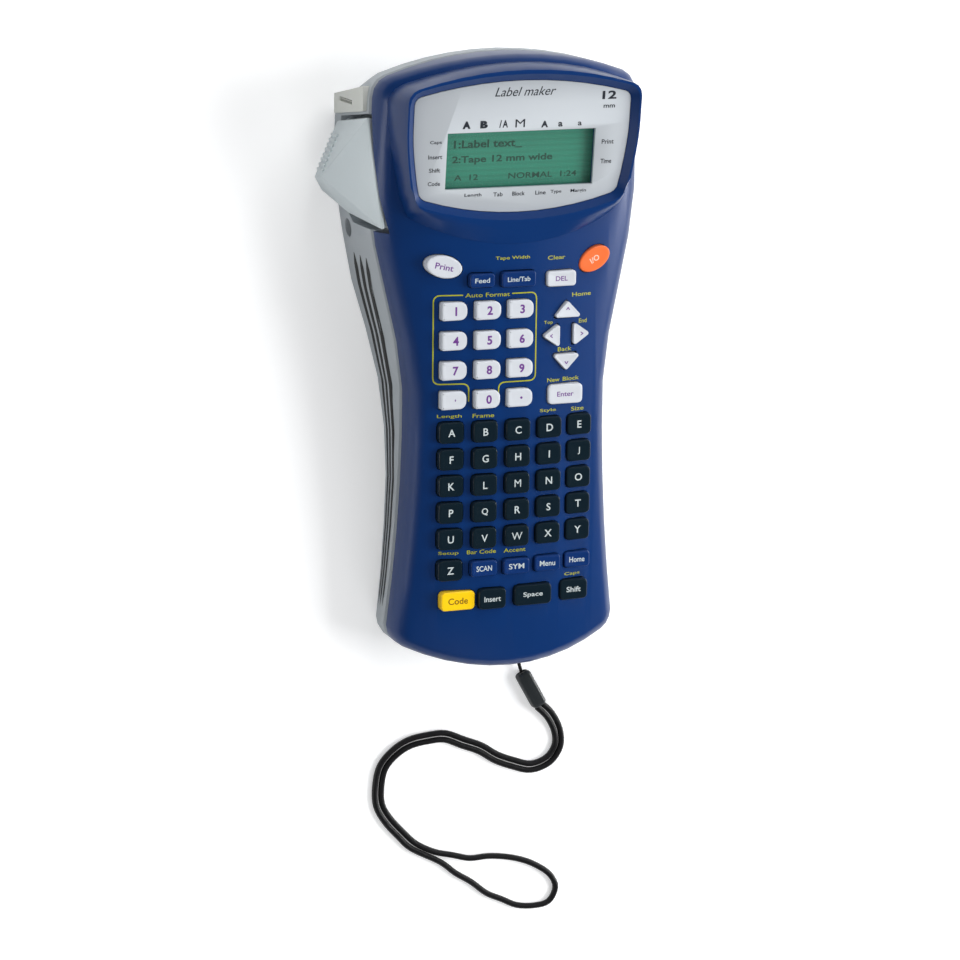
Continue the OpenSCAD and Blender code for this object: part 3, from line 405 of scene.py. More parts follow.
# Inside
frameWhite = plastic("frameWhite", (228, 230, 226), (214, 216, 212), 0.5)
cassetteGrey = plastic("cassetteGrey", (190, 192, 188), (172, 174, 170), 0.4)
gearWhite = plastic("gearWhite", (232, 230, 220), (214, 212, 202), 0.45)
matRubber = plastic("matRubber", (184, 186, 182), (166, 168, 164), 0.75, 0.1, 1400.0, 0.0, bump=0.25)
rollerRubber = plastic("rollerRubber", (38, 38, 40), (26, 26, 28), 0.7, 0.1, 1400.0, 0.0, bump=0.3)
boardGreen = plastic("boardGreen", (24, 96, 60), (18, 78, 50), 0.45, 0.15, 900.0, 0.0, bump=0.2)
cellWrap = plastic("cellWrap", (44, 58, 74), (34, 46, 62), 0.3)
tapeWhite = plastic("tapeWhite", (238, 238, 234), (228, 228, 224), 0.35, 0.1, 4000.0, 0.0)
steel = metal("steel", (190, 192, 196))
bladeSteel = metal("bladeSteel", (214, 216, 220), 2600.0, 0.16)
brass = metal("brass", (206, 172, 92))

# Inks
inkYellow = ink("inkYellow", (176, 176, 44), (164, 164, 38))
inkDark = ink("inkDark", (42, 46, 54), (34, 38, 46))
inkPurple = ink("inkPurple", (112, 58, 140), (98, 48, 126))
inkPale = ink("inkPale", (198, 208, 210), (184, 194, 196))
inkBrown = ink("inkBrown", (122, 84, 22), (108, 74, 18))
inkPeach = ink("inkPeach", (252, 214, 196), (246, 204, 186))
lcdInk = ink("lcdInk", (8, 62, 50), (6, 56, 44), 0.6)

screenLook = {
    "bright": (34, 138, 112),
    "dim": (28, 122, 98),
    "betweenDots": (26, 114, 92),
    "dotScale": 1900,
    "dotEdge": {"From Min": 0.25, "From Max": 0.6},
    "cloudScale": 60,
    "roughness": 0.5,
}


def screenFinish(look):
    # liquid crystal panel: green, with a faint grid of dots
    material, tree, shader = newMaterial("lcdGreen")
    place = ownPlace(tree)
    dots = addNode(tree, "TexVoronoi", {"Vector": place, "Scale": look["dotScale"], "Randomness": 0.0})
    between = remapped(tree, dots.outputs["Distance"], look["dotEdge"])
    cloud = noise(tree, place, look["cloudScale"])
    tone = mixed(tree, cloud, plain(*look["bright"]), plain(*look["dim"]))
    feed(tree, shader, {
        "Base Color": mixed(tree, between, tone, plain(*look["betweenDots"])),
        "Roughness": look["roughness"],
    })
    return material


glassLook = {
    "tint": (210, 232, 222),
    "alpha": 0.05,
    "filmScale": 90,
    "roughness": {"To Min": 0.05, "To Max": 0.16},
}


def glassFinish(look):
    # clear window with a thin, uneven film on it
    material, tree, shader = newMaterial("windowGlass")
    film = noise(tree, ownPlace(tree), look["filmScale"])
    feed(tree, shader, {
        "Base Color": plain(*look["tint"]),
        "Alpha": look["alpha"],
        "Roughness": remapped(tree, film, look["roughness"]),
    })
    return material


lcdGreen = screenFinish(screenLook)
windowGlass = glassFinish(glassLook)
print("finishes made")


# Wrist strap: a string out of the foot end, a sleeve, and a cord in two legs with a hand loop
strap = {
    "diameter": 2.3,
    "gap": 0.2,  # between the two legs
    "restHeight": 1.2,
    "skin": 0.02,  # the drawn cord is this much thinner all round
    "curveSteps": 4,
    "stringFrom": (10, -110.7, -25),  # in the device's own frame
    "stringRadius": 0.68,
    "stringSag": 0.5,
    "stringSteps": 12,
    "sleeveFrom": (19, -118.5),
    "sleeveLength": 15,
    "sleeveWidth": 5.6,
    "sleeveThick": 4.9,
    "sleeveMiddle": 2.5,  # height above the table
    "sleeveSoftEdge": 1.5,
    "sleeveRim": 0.5,
    "run": [
        (26, -132), (30, -136), (33, -142), (33, -148), (29, -153), (22, -155), (15, -153),
        (8, -150), (2, -146), (-5, -143), (-12, -140), (-19, -140), (-26, -141), (-32, -144),
        (-37, -149), (-39, -156), (-39, -163), (-36, -169), (-31, -175), (-26, -180)],
    "loop": [
        (-18, -183), (-11, -185), (-4, -187), (3, -187), (10, -188), (17, -190), (23, -193),
        (28, -197), (30, -202), (27, -207), (21, -208), (14, -207), (8, -204), (2, -201),
        (-4, -196), (-10, -192), (-16, -187)],
}


def sleeveDirection(settings):
    return (Vector(settings["run"][0]) - Vector(settings["sleeveFrom"])).normalized()


def strapRoute(settings):
    # out of the sleeve along one leg, round the hand loop and back along the other leg
    run = [Vector(p) for p in settings["run"]]
    last = len(run) - 1
    along = sleeveDirection(settings)
    ahead = [along] + [(run[min(last, i + 1)] - run[i - 1]).normalized() for i in range(1, last + 1)]
    middles = [Vector(settings["sleeveFrom"]) + along * settings["sleeveLength"]] + run[1:]
    high, low = settings["sleeveMiddle"], settings["restHeight"]
    heights = [high, (high + low) / 2] + [low] * (last - 1)

    def leg(side):
        d = side * (settings["diameter"] + settings["gap"]) / 2
        return [Vector((p.x - a.y * d, p.y + a.x * d, z)) for p, a, z in zip(middles, ahead, heights)]

    return leg(1) + [Vector((x, y, low)) for x, y in settings["loop"]] + leg(-1)[::-1]


def smoothRoute(points, steps):
    # a curve through the same points, with so many steps from each to the next
    out = []
    last = len(points) - 1
    for i in range(last):
        a, b = points[max(0, i - 1)], points[i]
        c, d = points[i + 1], points[min(last, i + 2)]
        for k in range(steps):
            t = k / steps
            out.append(0.5 * (2 * b + (c - a) * t + (2 * a - 5 * b + 4 * c - d) * t * t
                              + (3 * b - a - 3 * c + d) * t ** 3))
    out.append(points[-1])
    return out


def stringRoute(settings):
    # from inside the foot end down to the sleeve, with a slight sag
    start = deviceToWorld @ (Vector(settings["stringFrom"]) * mm) / mm
    end = Vector((*settings["sleeveFrom"], settings["sleeveMiddle"]))
    shares = [i / settings["stringSteps"] for i in range(settings["stringSteps"] + 1)]
    sag = [Vector((0, 0, -settings["stringSag"] * math.sin(math.pi * t))) for t in shares]
    return [start.lerp(end, t) + down for t, down in zip(shares, sag)]


def addTube(name, points, radius, material, sides=3):
    leaveAll()
    curve = bpy.data.curves.new(name, "CURVE")
    curve.dimensions = "3D"
    curve.bevel_depth = radius * mm
    curve.bevel_resolution = sides
    curve.use_fill_caps = True
    spline = curve.splines.new("POLY")
    spline.points.add(len(points) - 1)
    for target, p in zip(spline.points, points):
        target.co = (p.x * mm, p.y * mm, p.z * mm, 1)
    obj = bpy.data.objects.new(name, curve)
    bpy.context.scene.collection.objects.link(obj)
    workOn(obj)
    bpy.ops.object.convert(target="MESH")
    obj = bpy.context.object
    editFaces(obj)
    bpy.ops.mesh.remove_doubles(threshold=0.001 * mm)
    bpy.ops.mesh.normals_make_consistent(inside=False)
    backToObject()
    shadeSmooth(50)
    paint(obj, material)
    return obj


def makeSleeve(settings):
    leaveAll()
    bpy.ops.mesh.primitive_cube_add(size=1)
    sleeve = bpy.context.object
    sizeTo(sleeve, settings["sleeveLength"], settings["sleeveWidth"], settings["sleeveThick"])
    editFaces(sleeve)
    bpy.ops.mesh.bevel(offset=settings["sleeveSoftEdge"] * mm, segments=5, affect="EDGES")
    backToObject()
    rim = settings["sleeveRim"] * mm
    for side in (-1, 1):
        # each end is sunk inside a thin rim
        editFaces(sleeve, lambda f: abs(f.normal.x) > 0.98 and f.center.x * side > 0)
        bpy.ops.mesh.inset(thickness=rim)
        bpy.ops.transform.translate(value=(-side * rim, 0, 0))
        backToObject()
    shadeSmooth(42)
    along = sleeveDirection(settings)
    middle = Vector(settings["sleeveFrom"]) + along * settings["sleeveLength"] / 2
    turn = Matrix.Rotation(math.atan2(along.y, along.x), 4, "Z")
    setDown(sleeve, placeAt(middle.x, middle.y, settings["sleeveMiddle"]) @ turn)
    sleeve.name = "strapSleeve"
    return sleeve


route = smoothRoute(strapRoute(strap), strap["curveSteps"])
strapCord = addTube("wristStrap", route, strap["diameter"] / 2 - strap["skin"], strapBlack, 4)
standFor(strapCord, "strap_cord", strapBlack)
strapSleeve = makeSleeve(strap)
standFor(strapSleeve, "strap_sleeve", sleeveGrey)
strapString = addTube("strapString", stringRoute(strap), strap["stringRadius"], strapBlack)
standFor(strapString, "strap_string", strapBlack)


def dressed(node, name, material, slotName, smooth, edge):
    # a copy of the node's mesh, merged, smoothed and finished
    leaveAll()
    obj = copyOf(frame["nodes"][node])
    obj.parent = None
    for key in list(obj.keys()):
        # the frame's marks belong to the CAD node alone
        del obj[key]
    obj.matrix_world = Matrix.Identity(4)
    obj.name = name
    editFaces(obj)
    bpy.ops.mesh.remove_doubles(threshold=0.002 * mm)
    bpy.ops.mesh.dissolve_limited(angle_limit=math.radians(0.2))
    backToObject()
    if obj.data.has_custom_normals:
        bpy.ops.mesh.customdata_custom_splitnormals_clear()
    if edge:
        soft = obj.modifiers.new("soft", "BEVEL")
        soft.width = edge * mm
        soft.segments = 2
        soft.limit_method = "ANGLE"
        soft.angle_limit = math.radians(40)
        bpy.ops.object.modifier_apply(modifier="soft")
    shadeSmooth(smooth)
    standFor(obj, node, material)
    return obj


# Shells and covers that stand for their solids
shellPieces = [
    # node, name, finish, slot, smoothed up to this angle, bevel on its edges
    ("front_case", "faceShell", bodyBlue, "body_blue", 32, 0.0),
    ("rear_case", "backShell", rearGrey, "rear_grey", 32, 0.0),
    ("battery_cover", "batteryDoor", coverGrey, "rear_grey", 30, 0.0),
    ("cassette_cover", "cassetteDoor", coverGrey, "rear_grey", 30, 0.25),
    ("faceplate", "displayPlate", plateSilver, "silver_plastic", 30, 0.15),
    ("tape_exit_block", "tapeExit", exitBeige, "beige_plastic", 30, 0.3),
    ("cutter_lever", "cutterHandle", leverSilver, "lever_silver", 45, 0.0),
    ("power_socket", "powerInlet", socketBlack, "socket_black", 30, 0.0),
]
shells = {row[0]: dressed(*row) for row in shellPieces}
print("shells dressed")


# CAD nodes that keep their shape, with their finish and slot
carried = {
    "lcd_window": (windowGlass, "window_glass"), "lcd_panel": (lcdGreen, "lcd_green"),
    "lcd_holder": (frameWhite, "frame_white"), "main_board": (boardGreen, "board_green"),
    "keypad_mat": (matRubber, "mat_rubber"), "screws": (steel, "steel"),
    "battery_cells": (cellWrap, "cell_wrap"), "battery_contacts": (steel, "steel"),
    "cover_hinge_pin": (steel, "steel"), "chassis_plate": (steel, "steel"), "motor": (steel, "steel"),
    "motor_pinion": (brass, "brass"), "idler_gear_low": (gearWhite, "gear_white"),
    "idler_gear_high": (gearWhite, "gear_white"), "platen_gear": (gearWhite, "gear_white"),
    "platen_shaft": (steel, "steel"), "platen_roller": (rollerRubber, "roller_rubber"),
    "print_head": (steel, "steel"), "tape_cassette": (cassetteGrey, "cassette_plastic"),
    "tape_spool": (gearWhite, "gear_white"), "label_tape": (tapeWhite, "tape"),
    "cutter_blade": (bladeSteel, "steel"), "cutter_anvil": (bladeSteel, "steel"),
    "lever_pin": (steel, "steel"), "lever_spring": (steel, "steel"),
}
for node, (material, slotName) in carried.items():
    paint(frame["nodes"][node], material)
print("inner parts painted")


# Keys
keySettings = {
    "rise": 1.8,
    "softEdge": {"arrow": 0.3, "other": 0.55},
    "rim": {"arrow": 0.4, "bar": 0.5, "other": 1.0},
    "corner": {"letter": 1.6, "bar": 1.2},
    "arrowCorner": 0.8,
    "digitCorner": 0.8,
    "digitBulge": 0.4,  # radius of the right-hand corners, as a share of the height
    "dish": 0.14,
    "flange": 0.8,
    "flangeThick": 0.9,
    "flangeCorner": 0.6,
    "flangeRoom": 0.6,  # beyond its edge, under the falling face
    "flangeGap": 0.3,
    "wall": 2.2,
    "capSink": 0.2,
    "stemSink": 0.1,
    "stemFoot": -9.4,
    "stemRadius": 1.6,
    "blockDepth": 4,  # of a new cap, flange or stem, before its lower end is moved
    "legendLift": 0.01,
    "digitShift": 0.5,
    "bold": 0.012,
    "digitBold": 0.03,
}
letterGrid = {
    "dx": 12.33, "dy": 9.8, "top": -24.0, "size": (9.3, 7.6), "tall": 2.7,
    "lastRow": 5.18, "lowRow": 6.34,
}
digitGrid = {
    "dx": 12.2, "dy": 10.73, "middle": -11.8, "top": 20.0, "size": (9.6, 6.6), "tall": 3.2, "dotTall": 0.9,
}
printSettings = {"extrude": 0.02, "squeeze": 0.6, "curveSteps": 4}


def forKind(values, kind):
    return values.get(kind, values["other"])


def roundCorners(shape, picked, radius, steps):
    editVertices(shape, picked)
    bpy.ops.mesh.bevel(affect="VERTICES", offset=radius * mm, segments=steps)
    backToObject()


def arrowEdge(w, h):
    # three rounded corners, from the tip round to the left foot and the right foot
    r = keySettings["arrowCorner"]
    tip, foot, side = h / 2 - 1.9 * r, r - h / 2, w / 2 - 1.7 * r
    corners = [(0, tip, 30), (-side, foot, 150), (side, foot, 270)]
    turns = [(x, y, math.radians(first + 20 * k)) for x, y, first in corners for k in range(7)]
    return [(x + r * math.cos(a), y + r * math.sin(a)) for x, y, a in turns]


def arrowShape(w, h):
    edge = arrowEdge(w, h)
    bpy.ops.mesh.primitive_circle_add(vertices=len(edge), radius=0.5, fill_type="NGON")
    shape = bpy.context.object
    for vertex, (x, y) in zip(shape.data.vertices, edge):
        vertex.co = (x * mm, y * mm, 0)
    return shape


def capShape(kind, w, h):
    leaveAll()
    if kind == "arrow":
        return arrowShape(w, h)
    if kind == "oval":
        bpy.ops.mesh.primitive_circle_add(vertices=36, radius=0.5, fill_type="NGON")
    else:
        bpy.ops.mesh.primitive_plane_add(size=1)
    shape = bpy.context.object
    sizeTo(shape, w, h)
    if kind == "digit":
        roundCorners(shape, lambda p: p.x < 0, keySettings["digitCorner"], 3)
        roundCorners(shape, lambda p: p.x > 0.49 * w * mm, keySettings["digitBulge"] * h, 6)
    elif kind in keySettings["corner"]:
        roundCorners(shape, lambda p: True, keySettings["corner"][kind], 4)
    return shape


def pullDown(shape):
    # makes a flat shape a closed block under it
    editFaces(shape)
    bpy.ops.mesh.extrude_region_move(
        TRANSFORM_OT_translate={"value": (0, 0, -keySettings["blockDepth"] * mm)})
    bpy.ops.mesh.select_all(action="SELECT")
    bpy.ops.mesh.normals_make_consistent(inside=False)
    backToObject()


def stretchTo(block, z):
    # moves the block's lower end to this height
    for v in block.data.vertices:
        if v.co.z < -keySettings["blockDepth"] / 2 * mm:
            v.co.z = z * mm


def capModel(kind, w, h):
    cap = capShape(kind, w, h)
    pullDown(cap)
    editFaces(cap, lambda f: f.normal.z > 0.9 and f.center.z > -0.1 * mm)
    bpy.ops.mesh.bevel(offset=forKind(keySettings["softEdge"], kind) * mm, segments=4, affect="EDGES")
    backToObject()
    # the top is dished inside a rim
    editFaces(cap, lambda f: f.normal.z > 0.99 and f.area > 0.2 * w * h * mm * mm)
    bpy.ops.mesh.inset(thickness=forKind(keySettings["rim"], kind) * mm)
    bpy.ops.transform.translate(value=(0, 0, -keySettings["dish"] * mm))
    backToObject()
    return cap


def footModel(w, h):
    # the flange that stops the key under the face, with its stem
    leaveAll()
    bpy.ops.mesh.primitive_plane_add(size=1)
    flange = bpy.context.object
    sizeTo(flange, w + 2 * keySettings["flange"], h + 2 * keySettings["flange"])
    roundCorners(flange, lambda p: True, keySettings["flangeCorner"], 2)
    pullDown(flange)
    stretchTo(flange, -keySettings["flangeThick"])
    bpy.ops.mesh.primitive_circle_add(vertices=20, radius=keySettings["stemRadius"] * mm, fill_type="NGON")
    stem = bpy.context.object
    pullDown(stem)
    return flange, stem


capModels = {}
footModels = {}


def addKey(x, y, w, h, kind, turn):
    capSize = (kind, h, w) if abs(turn) == 90 else (kind, w, h)
    if capSize not in capModels:
        capModels[capSize] = capModel(*capSize)
    if (w, h) not in footModels:
        footModels[(w, h)] = footModel(w, h)
    cap = copyOf(capModels[capSize])
    flange, stem = (copyOf(model) for model in footModels[(w, h)])
    top = crown(x) + keySettings["rise"]
    flangeEdge = abs(x) + w / 2 + keySettings["flange"] + keySettings["flangeRoom"]
    flangeTop = crown(flangeEdge) - keySettings["wall"] - keySettings["flangeGap"]
    stemTop = flangeTop - keySettings["flangeThick"] + keySettings["stemSink"]
    stretchTo(cap, flangeTop - keySettings["capSink"] - top)
    stretchTo(stem, keySettings["stemFoot"] - stemTop)
    for part, height, spin in ((cap, top, turn), (flange, flangeTop, 0), (stem, stemTop, 0)):
        setDown(part, deviceToWorld @ placeAt(x, y, height) @ turnBy(spin, "Z"))
    return [cap, flange, stem]


def lettering(words, height, width=None, bold=0.0, slant=0.0):
    # words as a thin raised print of the size given, centred on the origin
    leaveAll()
    bpy.ops.object.text_add()
    text = bpy.context.object
    text.data.body = words
    text.data.size = 1
    text.data.resolution_u = printSettings["curveSteps"]
    text.data.offset = bold
    text.data.shear = slant
    text.data.extrude = printSettings["extrude"]
    bpy.ops.object.convert(target="MESH")
    text = bpy.context.object
    spots = [v.co for v in text.data.vertices]
    low, high = Vector(map(min, *spots)), Vector(map(max, *spots))
    middle = (low + high) / 2
    tall = height * mm / (high.y - low.y)
    wide = tall if width is None else width * mm / (high.x - low.x)
    thin = printSettings["squeeze"] * mm
    for v in text.data.vertices:
        v.co = ((v.co.x - middle.x) * wide, (v.co.y - middle.y) * tall, (v.co.z - middle.z) * thin)
    return text


def boldness(legend):
    # the widest letters stay thin, so that their strokes don't run together
    if legend in ("M", "W"):
        return 0.0
    return keySettings["digitBold" if legend.isdigit() else "bold"]


def onKey(obj, kind, x, y, turn):
    shift = keySettings["digitShift"] if kind == "digit" else 0
    top = crown(x) + keySettings["rise"] - keySettings["dish"] + keySettings["legendLift"]
    setDown(obj, deviceToWorld @ placeAt(x + shift, y, top) @ turnBy(turn, "Z"))
    return obj


def onFace(obj, x, y, lift):
    # lays a flat piece on the curved face at x, y
    for v in obj.data.vertices:
        faceX, faceY = x + v.co.x / mm, y + v.co.y / mm
        v.co = Vector((faceX, faceY, crown(faceX) + lift + v.co.z / mm)) * mm
    setDown(obj, deviceToWorld)
    return obj


def letterX(i):
    return (i - 2) * letterGrid["dx"]


def letterY(row):
    return letterGrid["top"] - row * letterGrid["dy"]


lastY = letterY(letterGrid["lastRow"])
lowY = letterY(letterGrid["lowRow"])

# finish of a key, its slot and the ink of its legend
white = (keyWhite, "key_white", inkPurple)
blue = (keyBlue, "key_blue", inkPale)
dark = (keyDark, "key_dark", inkPale)
orange = (keyOrange, "key_orange", inkPeach)
yellow = (keyYellow, "key_yellow", inkBrown)

# node: finish, and for each key x, y, width, height, shape, turn, legend, its height and width
keyNodes = {
    "print_key": (white, [(-27.8, 36, 13.8, 8, "oval", -13, "Print", 2.2, 7.0)]),
    "feed_key": (blue, [(-14.2, 30.8, 9.4, 5, "bar", 0, "Feed", 1.7, 5.6)]),
    "line_key": (blue, [(-0.6, 30.8, 13, 5.6, "bar", 0, "Line/Tab", 1.7, 8.6)]),
    "clear_key": (white, [(16.2, 30, 11.2, 5.6, "bar", 0, "DEL", 1.7, 4.6)]),
    "power_key": (orange, [(29.9, 36, 12.8, 8, "oval", 30, "I/O", 2.0, 3.6)]),
    "up_key": (white, [(19, 18.9, 10.4, 6.4, "arrow", 0, "^", 1.0, 1.6)]),
    "down_key": (white, [(18.7, -0.8, 10.4, 6.4, "arrow", 180, "^", 1.0, 1.6)]),
    "left_key": (white, [(12.4, 9.4, 6.6, 8.6, "arrow", 90, "^", 1.0, 1.6)]),
    "right_key": (white, [(25, 9.3, 6.6, 8.6, "arrow", -90, "^", 1.0, 1.6)]),
    "enter_key": (white, [(18.5, -12.2, 13.4, 7.2, "letter", 0, "Enter", 1.8, 6.4)]),
    "code_key": (yellow, [(-21.8, lowY, 13, 7, "letter", 0, "Code", 2.4, 7.6)]),
    "space_key": (dark, [(6.7, lowY + 0.4, 14.4, 7.6, "letter", 0, "Space", 2.2, 7.6)]),
    "shift_keys": (dark, [
        (-9, lowY + 0.1, 10.4, 7.6, "letter", 0, "Insert", 2.0, 6.4),
        (23.5, lowY + 0.5, 10.8, 7.6, "letter", 0, "Shift", 2.0, 5.6)]),
    "function_keys": (blue, [
        (letterX(i), lastY + 0.3, 10, 5.8, "bar", 0, word, 2.0, 6.0)
        for i, word in enumerate(("SCAN", "SYM", "Menu", "Home"), 1)]),
    "last_letter_key": (dark, [
        (letterX(0), lastY, *letterGrid["size"], "letter", 0, "Z", letterGrid["tall"], None)]),
}
for j, row in enumerate(("123", "456", "789", ",0.")):
    keyNodes[f"digit_row_{j + 1}"] = (white, [
        (digitGrid["middle"] + (i - 1) * digitGrid["dx"], digitGrid["top"] - j * digitGrid["dy"],
         *digitGrid["size"], "digit", 0, mark, digitGrid["dotTall" if mark in ",." else "tall"], None)
        for i, mark in enumerate(row)])
for j, row in enumerate(("ABCDE", "FGHIJ", "KLMNO", "PQRST", "UVWXY")):
    keyNodes[f"letter_row_{j + 1}"] = (dark, [
        (letterX(i), letterY(j), *letterGrid["size"], "letter", 0, mark, letterGrid["tall"], None)
        for i, mark in enumerate(row)])


def niceName(node):
    head, *rest = node.split("_")
    return head + "".join(word.capitalize() for word in rest)


for node, ((material, slotName, inkUsed), keys) in keyNodes.items():
    caps, legends = [], []
    for x, y, w, h, kind, turn, legend, tall, wide in keys:
        caps += addKey(x, y, w, h, kind, turn)
        legends.append(onKey(lettering(legend, tall, wide, boldness(legend)), kind, x, y, turn))
    capPiece = joinAll(caps, niceName(node) + "Caps")
    shadeSmooth(50)
    standFor(capPiece, node, material)
    layOn(legends, niceName(node) + "Legends", inkUsed, frame["nodes"][node]["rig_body"])
removeAll(capModels.values())
for pair in footModels.values():
    removeAll(pair)
print("keys made")


# Print on the face
faceMarks = {
    "height": 1.5,
    "bold": 0.008,
    "wordLift": 0.03,
    "lineLift": 0.02,
    "lineWidth": 0.5,
    "lineFlatness": 0.08,
    "lineCorner": 2.5,
    "lineStep": 1.5,
    "words": [
        # word, x, y, width
        ("Home", 25.3, 23.5, 7.9), ("Top", 11.8, 14.0, 3.5), ("End", 26.0, 13.7, 3.3),
        ("Back", 18.6, 4.0, 5.6), ("New", 14.2, -7.0, 5.0), ("Block", 21.4, -7.0, 6.8),
        ("Auto Format", -11.6, 25.4, 16.4), ("Length", -25.0, -18.3, 8.8), ("Frame", -12.7, -18.3, 8.0),
        ("Style", 12.2, -18.1, 6.5), ("Size", 24.4, -18.4, 5.3), ("Setup", -24.9, -68.7, 7.3),
        ("Bar Code", -12.8, -68.5, 10.8), ("Accent", -0.2, -68.7, 8.5), ("Caps", 23.4, -80.1, 6.5),
        ("Tape Width", -2.4, 38.2, 13.0), ("Clear", 14.7, 37.5, 7.0),
    ],
    "lines": [
        [(-20.6, 25.5), (-31, 25.5), (-31, -6.5), (-18.2, -6.5), (-18.2, -13)],
        [(-2.6, 25.5), (6.9, 25.5), (6.9, -6.5), (-7.2, -6.5), (-7.2, -13)],
    ],
}


def roundedRoute(points, radius, steps=6):
    points = [Vector((x, y, 0)) for x, y in points]
    out = [points[0]]
    for a, b, c in zip(points, points[1:], points[2:]):
        start = b + (a - b).normalized() * radius
        stop = b + (c - b).normalized() * radius
        for k in range(steps + 1):
            t = k / steps
            out.append(start * (1 - t) ** 2 + b * 2 * t * (1 - t) + stop * t * t)
    out.append(points[-1])
    return out


def spread(points, step):
    # more points along the straight stretches, so that a line can follow the crown
    out = []
    for a, b in zip(points, points[1:]):
        count = max(1, int((b - a).length / step))
        out += [a.lerp(b, k / count) for k in range(count)]
    return out + [points[-1]]


def faceLine(points):
    route = spread(roundedRoute(points, faceMarks["lineCorner"]), faceMarks["lineStep"])
    line = addTube("faceLine", route, faceMarks["lineWidth"] / 2, inkYellow, 2)
    for v in line.data.vertices:
        v.co.z *= faceMarks["lineFlatness"]
    return onFace(line, 0, 0, faceMarks["lineLift"])


faceWords = [
    onFace(lettering(word, faceMarks["height"], width, faceMarks["bold"]), x, y, faceMarks["wordLift"])
    for word, x, y, width in faceMarks["words"]]
layOn(faceWords + [faceLine(points) for points in faceMarks["lines"]], "facePrint", inkYellow)


# Print on the display's plate, and the words on the screen under it
plateMarks = {
    "place": (-0.6, 73.6, 1.5),
    "lean": 6.75,
    "lift": 0.02,
    "screenLift": -3.26,
    "captionBold": 0.015,
    "words": [
        # word, x, y, height, width, bold, slant
        ("Label maker", 0.4, 24.3, 3.2, 23.0, 0.0, 0.35),
        ("12", 32.4, 22.0, 3.0, 5.4, 0.03), ("mm", 32.6, 17.9, 1.1, 4.4, 0.02),
        ("A", -21.1, 12.9, 2.7, 3.0, 0.07), ("B", -14.6, 12.9, 2.7, 2.8, 0.07),
        ("I", -8.4, 12.9, 2.7, 0.9, 0.05, 0.4), ("A", -6.6, 12.9, 2.7, 2.0, 0.03),
        ("M", -1.0, 12.9, 2.9, 3.6), ("A", 8.3, 12.3, 2.4, 2.6, 0.05),
        ("a", 14.3, 12.0, 1.7, 1.7, 0.03), ("a", 21.7, 12.0, 1.4, 1.5, 0.02),
    ],
    "captions": [
        # word, x, y, height, width
        ("Caps", -32.2, 7.0, 1.5, 4.4), ("Insert", -32.2, 1.9, 1.5, 5.2), ("Shift", -32.2, -2.9, 1.5, 4.2),
        ("Code", -32.2, -7.7, 1.5, 4.6), ("Print", 32.9, 5.1, 1.7, 4.6), ("Time", 32.7, -2.0, 1.7, 4.2),
        ("Length", -17.3, -12.5, 1.5, 6.4), ("Tab", -7.9, -12.5, 1.5, 3.6), ("Block", -0.1, -12.5, 1.5, 4.8),
        ("Line", 8.3, -12.5, 1.5, 4.0), ("Type", 14.2, -12.5, 1.5, 4.2), ("Margin", 22.8, -12.5, 1.5, 6.0),
    ],
    "screenWords": [
        # word, x, y, height, width, bold
        ("1:Label text_", -11.3, 5.0, 3.3, 25.8, 0.025), ("2:Tape 12 mm wide", -5.6, -0.6, 3.3, 38.0, 0.025),
        ("NORMAL  1:24", 10.0, -6.8, 2.1, 26.0, 0.012), ("A  12", -19.0, -6.8, 2.1, 9.0, 0.012),
    ],
}
plateToWorld = deviceToWorld @ placeAt(*plateMarks["place"]) @ turnBy(plateMarks["lean"], "X")


def onPlate(rows, lift):
    # the words of these rows, each in its place above the plate or below it
    words = []
    for word, x, y, *style in rows:
        words.append(lettering(word, *style))
        setDown(words[-1], plateToWorld @ placeAt(x, y, lift))
    return words


captions = [(*row, plateMarks["captionBold"]) for row in plateMarks["captions"]]
layOn(onPlate(plateMarks["words"] + captions, plateMarks["lift"]), "platePrint", inkDark)
layOn(onPlate(plateMarks["screenWords"], plateMarks["screenLift"]), "screenPrint", lcdInk)
print("print laid on")


# Painted shade of the grip grooves: dark strips laid on the flanks
grip = {
    "shares": (0.26, 0.5, 0.74),  # of the flank's depth
    "width": 0.14,
    "low": -92.0,
    "high": 36.0,
    "seam": -20.6,
    "bottomMargin": 3,
    "taper": 24,
    "tip": 0.15,
    "outside": 62,
    "sink": 0.05,
}
backLine = {"footY": -103, "footZ": -32, "slope": 0.08, "bend": (-40, 30)}


def backHeight(y):
    # the back's lowest line, which goes over softly from its own slope to the table's
    fromFoot = y - backLine["footY"]
    spine = backLine["footZ"] - backLine["slope"] * fromFoot
    rest = backLine["footZ"] - math.tan(math.radians(lie["lean"])) * fromFoot
    start, stop = backLine["bend"]
    u = min(1, max(0, (y - start) / (stop - start)))
    return spine + (rest - spine) * u * u * (3 - 2 * u)


def paintedGrooveShade(share, side):
    # a tapered strip beside the flank, then projected onto it, dark as painted shade of a groove
    leaveAll()
    bpy.ops.mesh.primitive_grid_add(x_subdivisions=90, y_subdivisions=5, size=1)
    strip = bpy.context.object
    for v in strip.data.vertices:
        y = grip["low"] + (v.co.x + 0.5) * (grip["high"] - grip["low"])
        taper = min(1.0, (0.5 - abs(v.co.x)) * grip["taper"] + grip["tip"])
        depth = backHeight(y) + grip["bottomMargin"] - grip["seam"]
        z = grip["seam"] + (share + v.co.y * grip["width"] * taper) * depth
        v.co = Vector((side * grip["outside"], y, z)) * mm
    setDown(strip, deviceToWorld)
    wrap = strip.modifiers.new("wrap", "SHRINKWRAP")
    wrap.target = shells["rear_case"]
    wrap.wrap_method = "PROJECT"
    wrap.use_project_x = True
    wrap.use_negative_direction = side > 0
    wrap.use_positive_direction = side < 0
    wrap.offset = grip["sink"] * mm
    workOn(strip)
    bpy.ops.object.modifier_apply(modifier="wrap")
    shadeSmooth(60)
    return strip
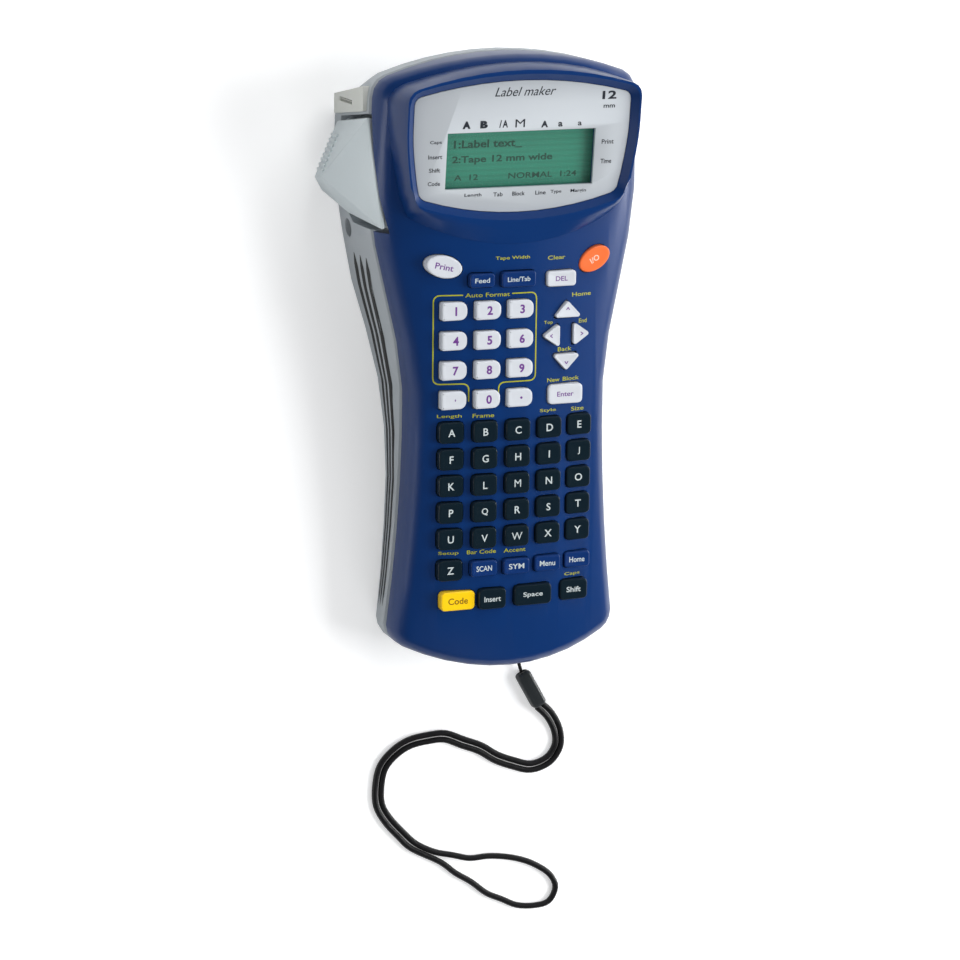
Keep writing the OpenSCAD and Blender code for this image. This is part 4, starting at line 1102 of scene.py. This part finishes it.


# the strips take the socket's black, as painted shade where the grooves would be
layOn([paintedGrooveShade(share, side) for share in grip["shares"] for side in (-1, 1)], "gripGrooveShade", socketBlack)
print("grip lines pressed")


# Floor, lights and air, in metres
studio = {
    "floor": (236, 237, 238),
    "floorDark": (233, 234, 235),
    "floorSize": 6,
    "floorCloud": 3,
    "floorRoughness": 0.9,
    "floorGlow": 0.35,
    "airLight": 0.13,
    "lampAim": (0, 0, 0.02),
    "lamps": [
        # name, place, size, power, lights colours, shows in gloss
        ("windowSide", (1.1, -0.15, 0.9), 0.9, 22.0, True, False),
        ("footEnd", (0.05, -1.15, 0.75), 0.7, 4.0, True, False),
        ("headEnd", (0.35, 1.0, 0.7), 0.8, 8.0, True, False),
        ("leftFill", (-0.95, 0.0, 0.6), 0.5, 3.6, True, False),
        ("rightGloss", (1.2, 0.0, 0.35), 0.35, 6.0, False, True),
        ("headGloss", (0.35, 1.0, 0.7), 0.8, 4.5, False, True),
        ("leftGloss", (-1.2, -0.1, 0.2), 0.3, 1.2, False, True),
    ],
}


def makeFloor():
    leaveAll()
    bpy.ops.mesh.primitive_plane_add(size=studio["floorSize"])
    floor = bpy.context.object
    floor.name = "floor"
    material, tree, shader = newMaterial("paleFloor")
    cloud = noise(tree, ownPlace(tree), studio["floorCloud"])
    seen = addNode(tree, "LightPath", {}).outputs["Is Camera Ray"]
    feed(tree, shader, {
        "Base Color": mixed(tree, cloud, plain(*studio["floor"]), plain(*studio["floorDark"])),
        "Roughness": studio["floorRoughness"],
        "Emission Color": (1, 1, 1, 1),
        "Emission Strength": computed(tree, "MULTIPLY", seen, studio["floorGlow"]),
    })
    paint(floor, material)


def makeLamps():
    for name, place, size, power, inColour, inGloss in studio["lamps"]:
        data = bpy.data.lights.new(name, "AREA")
        data.size = size
        data.energy = power
        lamp = bpy.data.objects.new(name, data)
        bpy.context.scene.collection.objects.link(lamp)
        lamp.visible_diffuse = inColour
        lamp.visible_glossy = inGloss
        lamp.location = place
        towards = Vector(studio["lampAim"]) - Vector(place)
        lamp.rotation_euler = towards.to_track_quat("-Z", "Y").to_euler()


def makeAir():
    # white where the camera looks at it or through glass, and dim as a light
    world = bpy.data.worlds.new("studioAir")
    bpy.context.scene.world = world
    world.use_nodes = True
    tree = world.node_tree
    path = addNode(tree, "LightPath", {}).outputs
    seen = computed(tree, "MAXIMUM", path["Is Camera Ray"], path["Is Transmission Ray"])
    level = remapped(tree, seen, {"To Min": studio["airLight"], "To Max": 1.0})
    feed(tree, tree.nodes["Background"], {"Color": (1, 1, 1, 1), "Strength": level})


makeFloor()
makeLamps()
makeAir()
bpy.context.scene.view_settings.view_transform = "Standard"

print("scene ready")
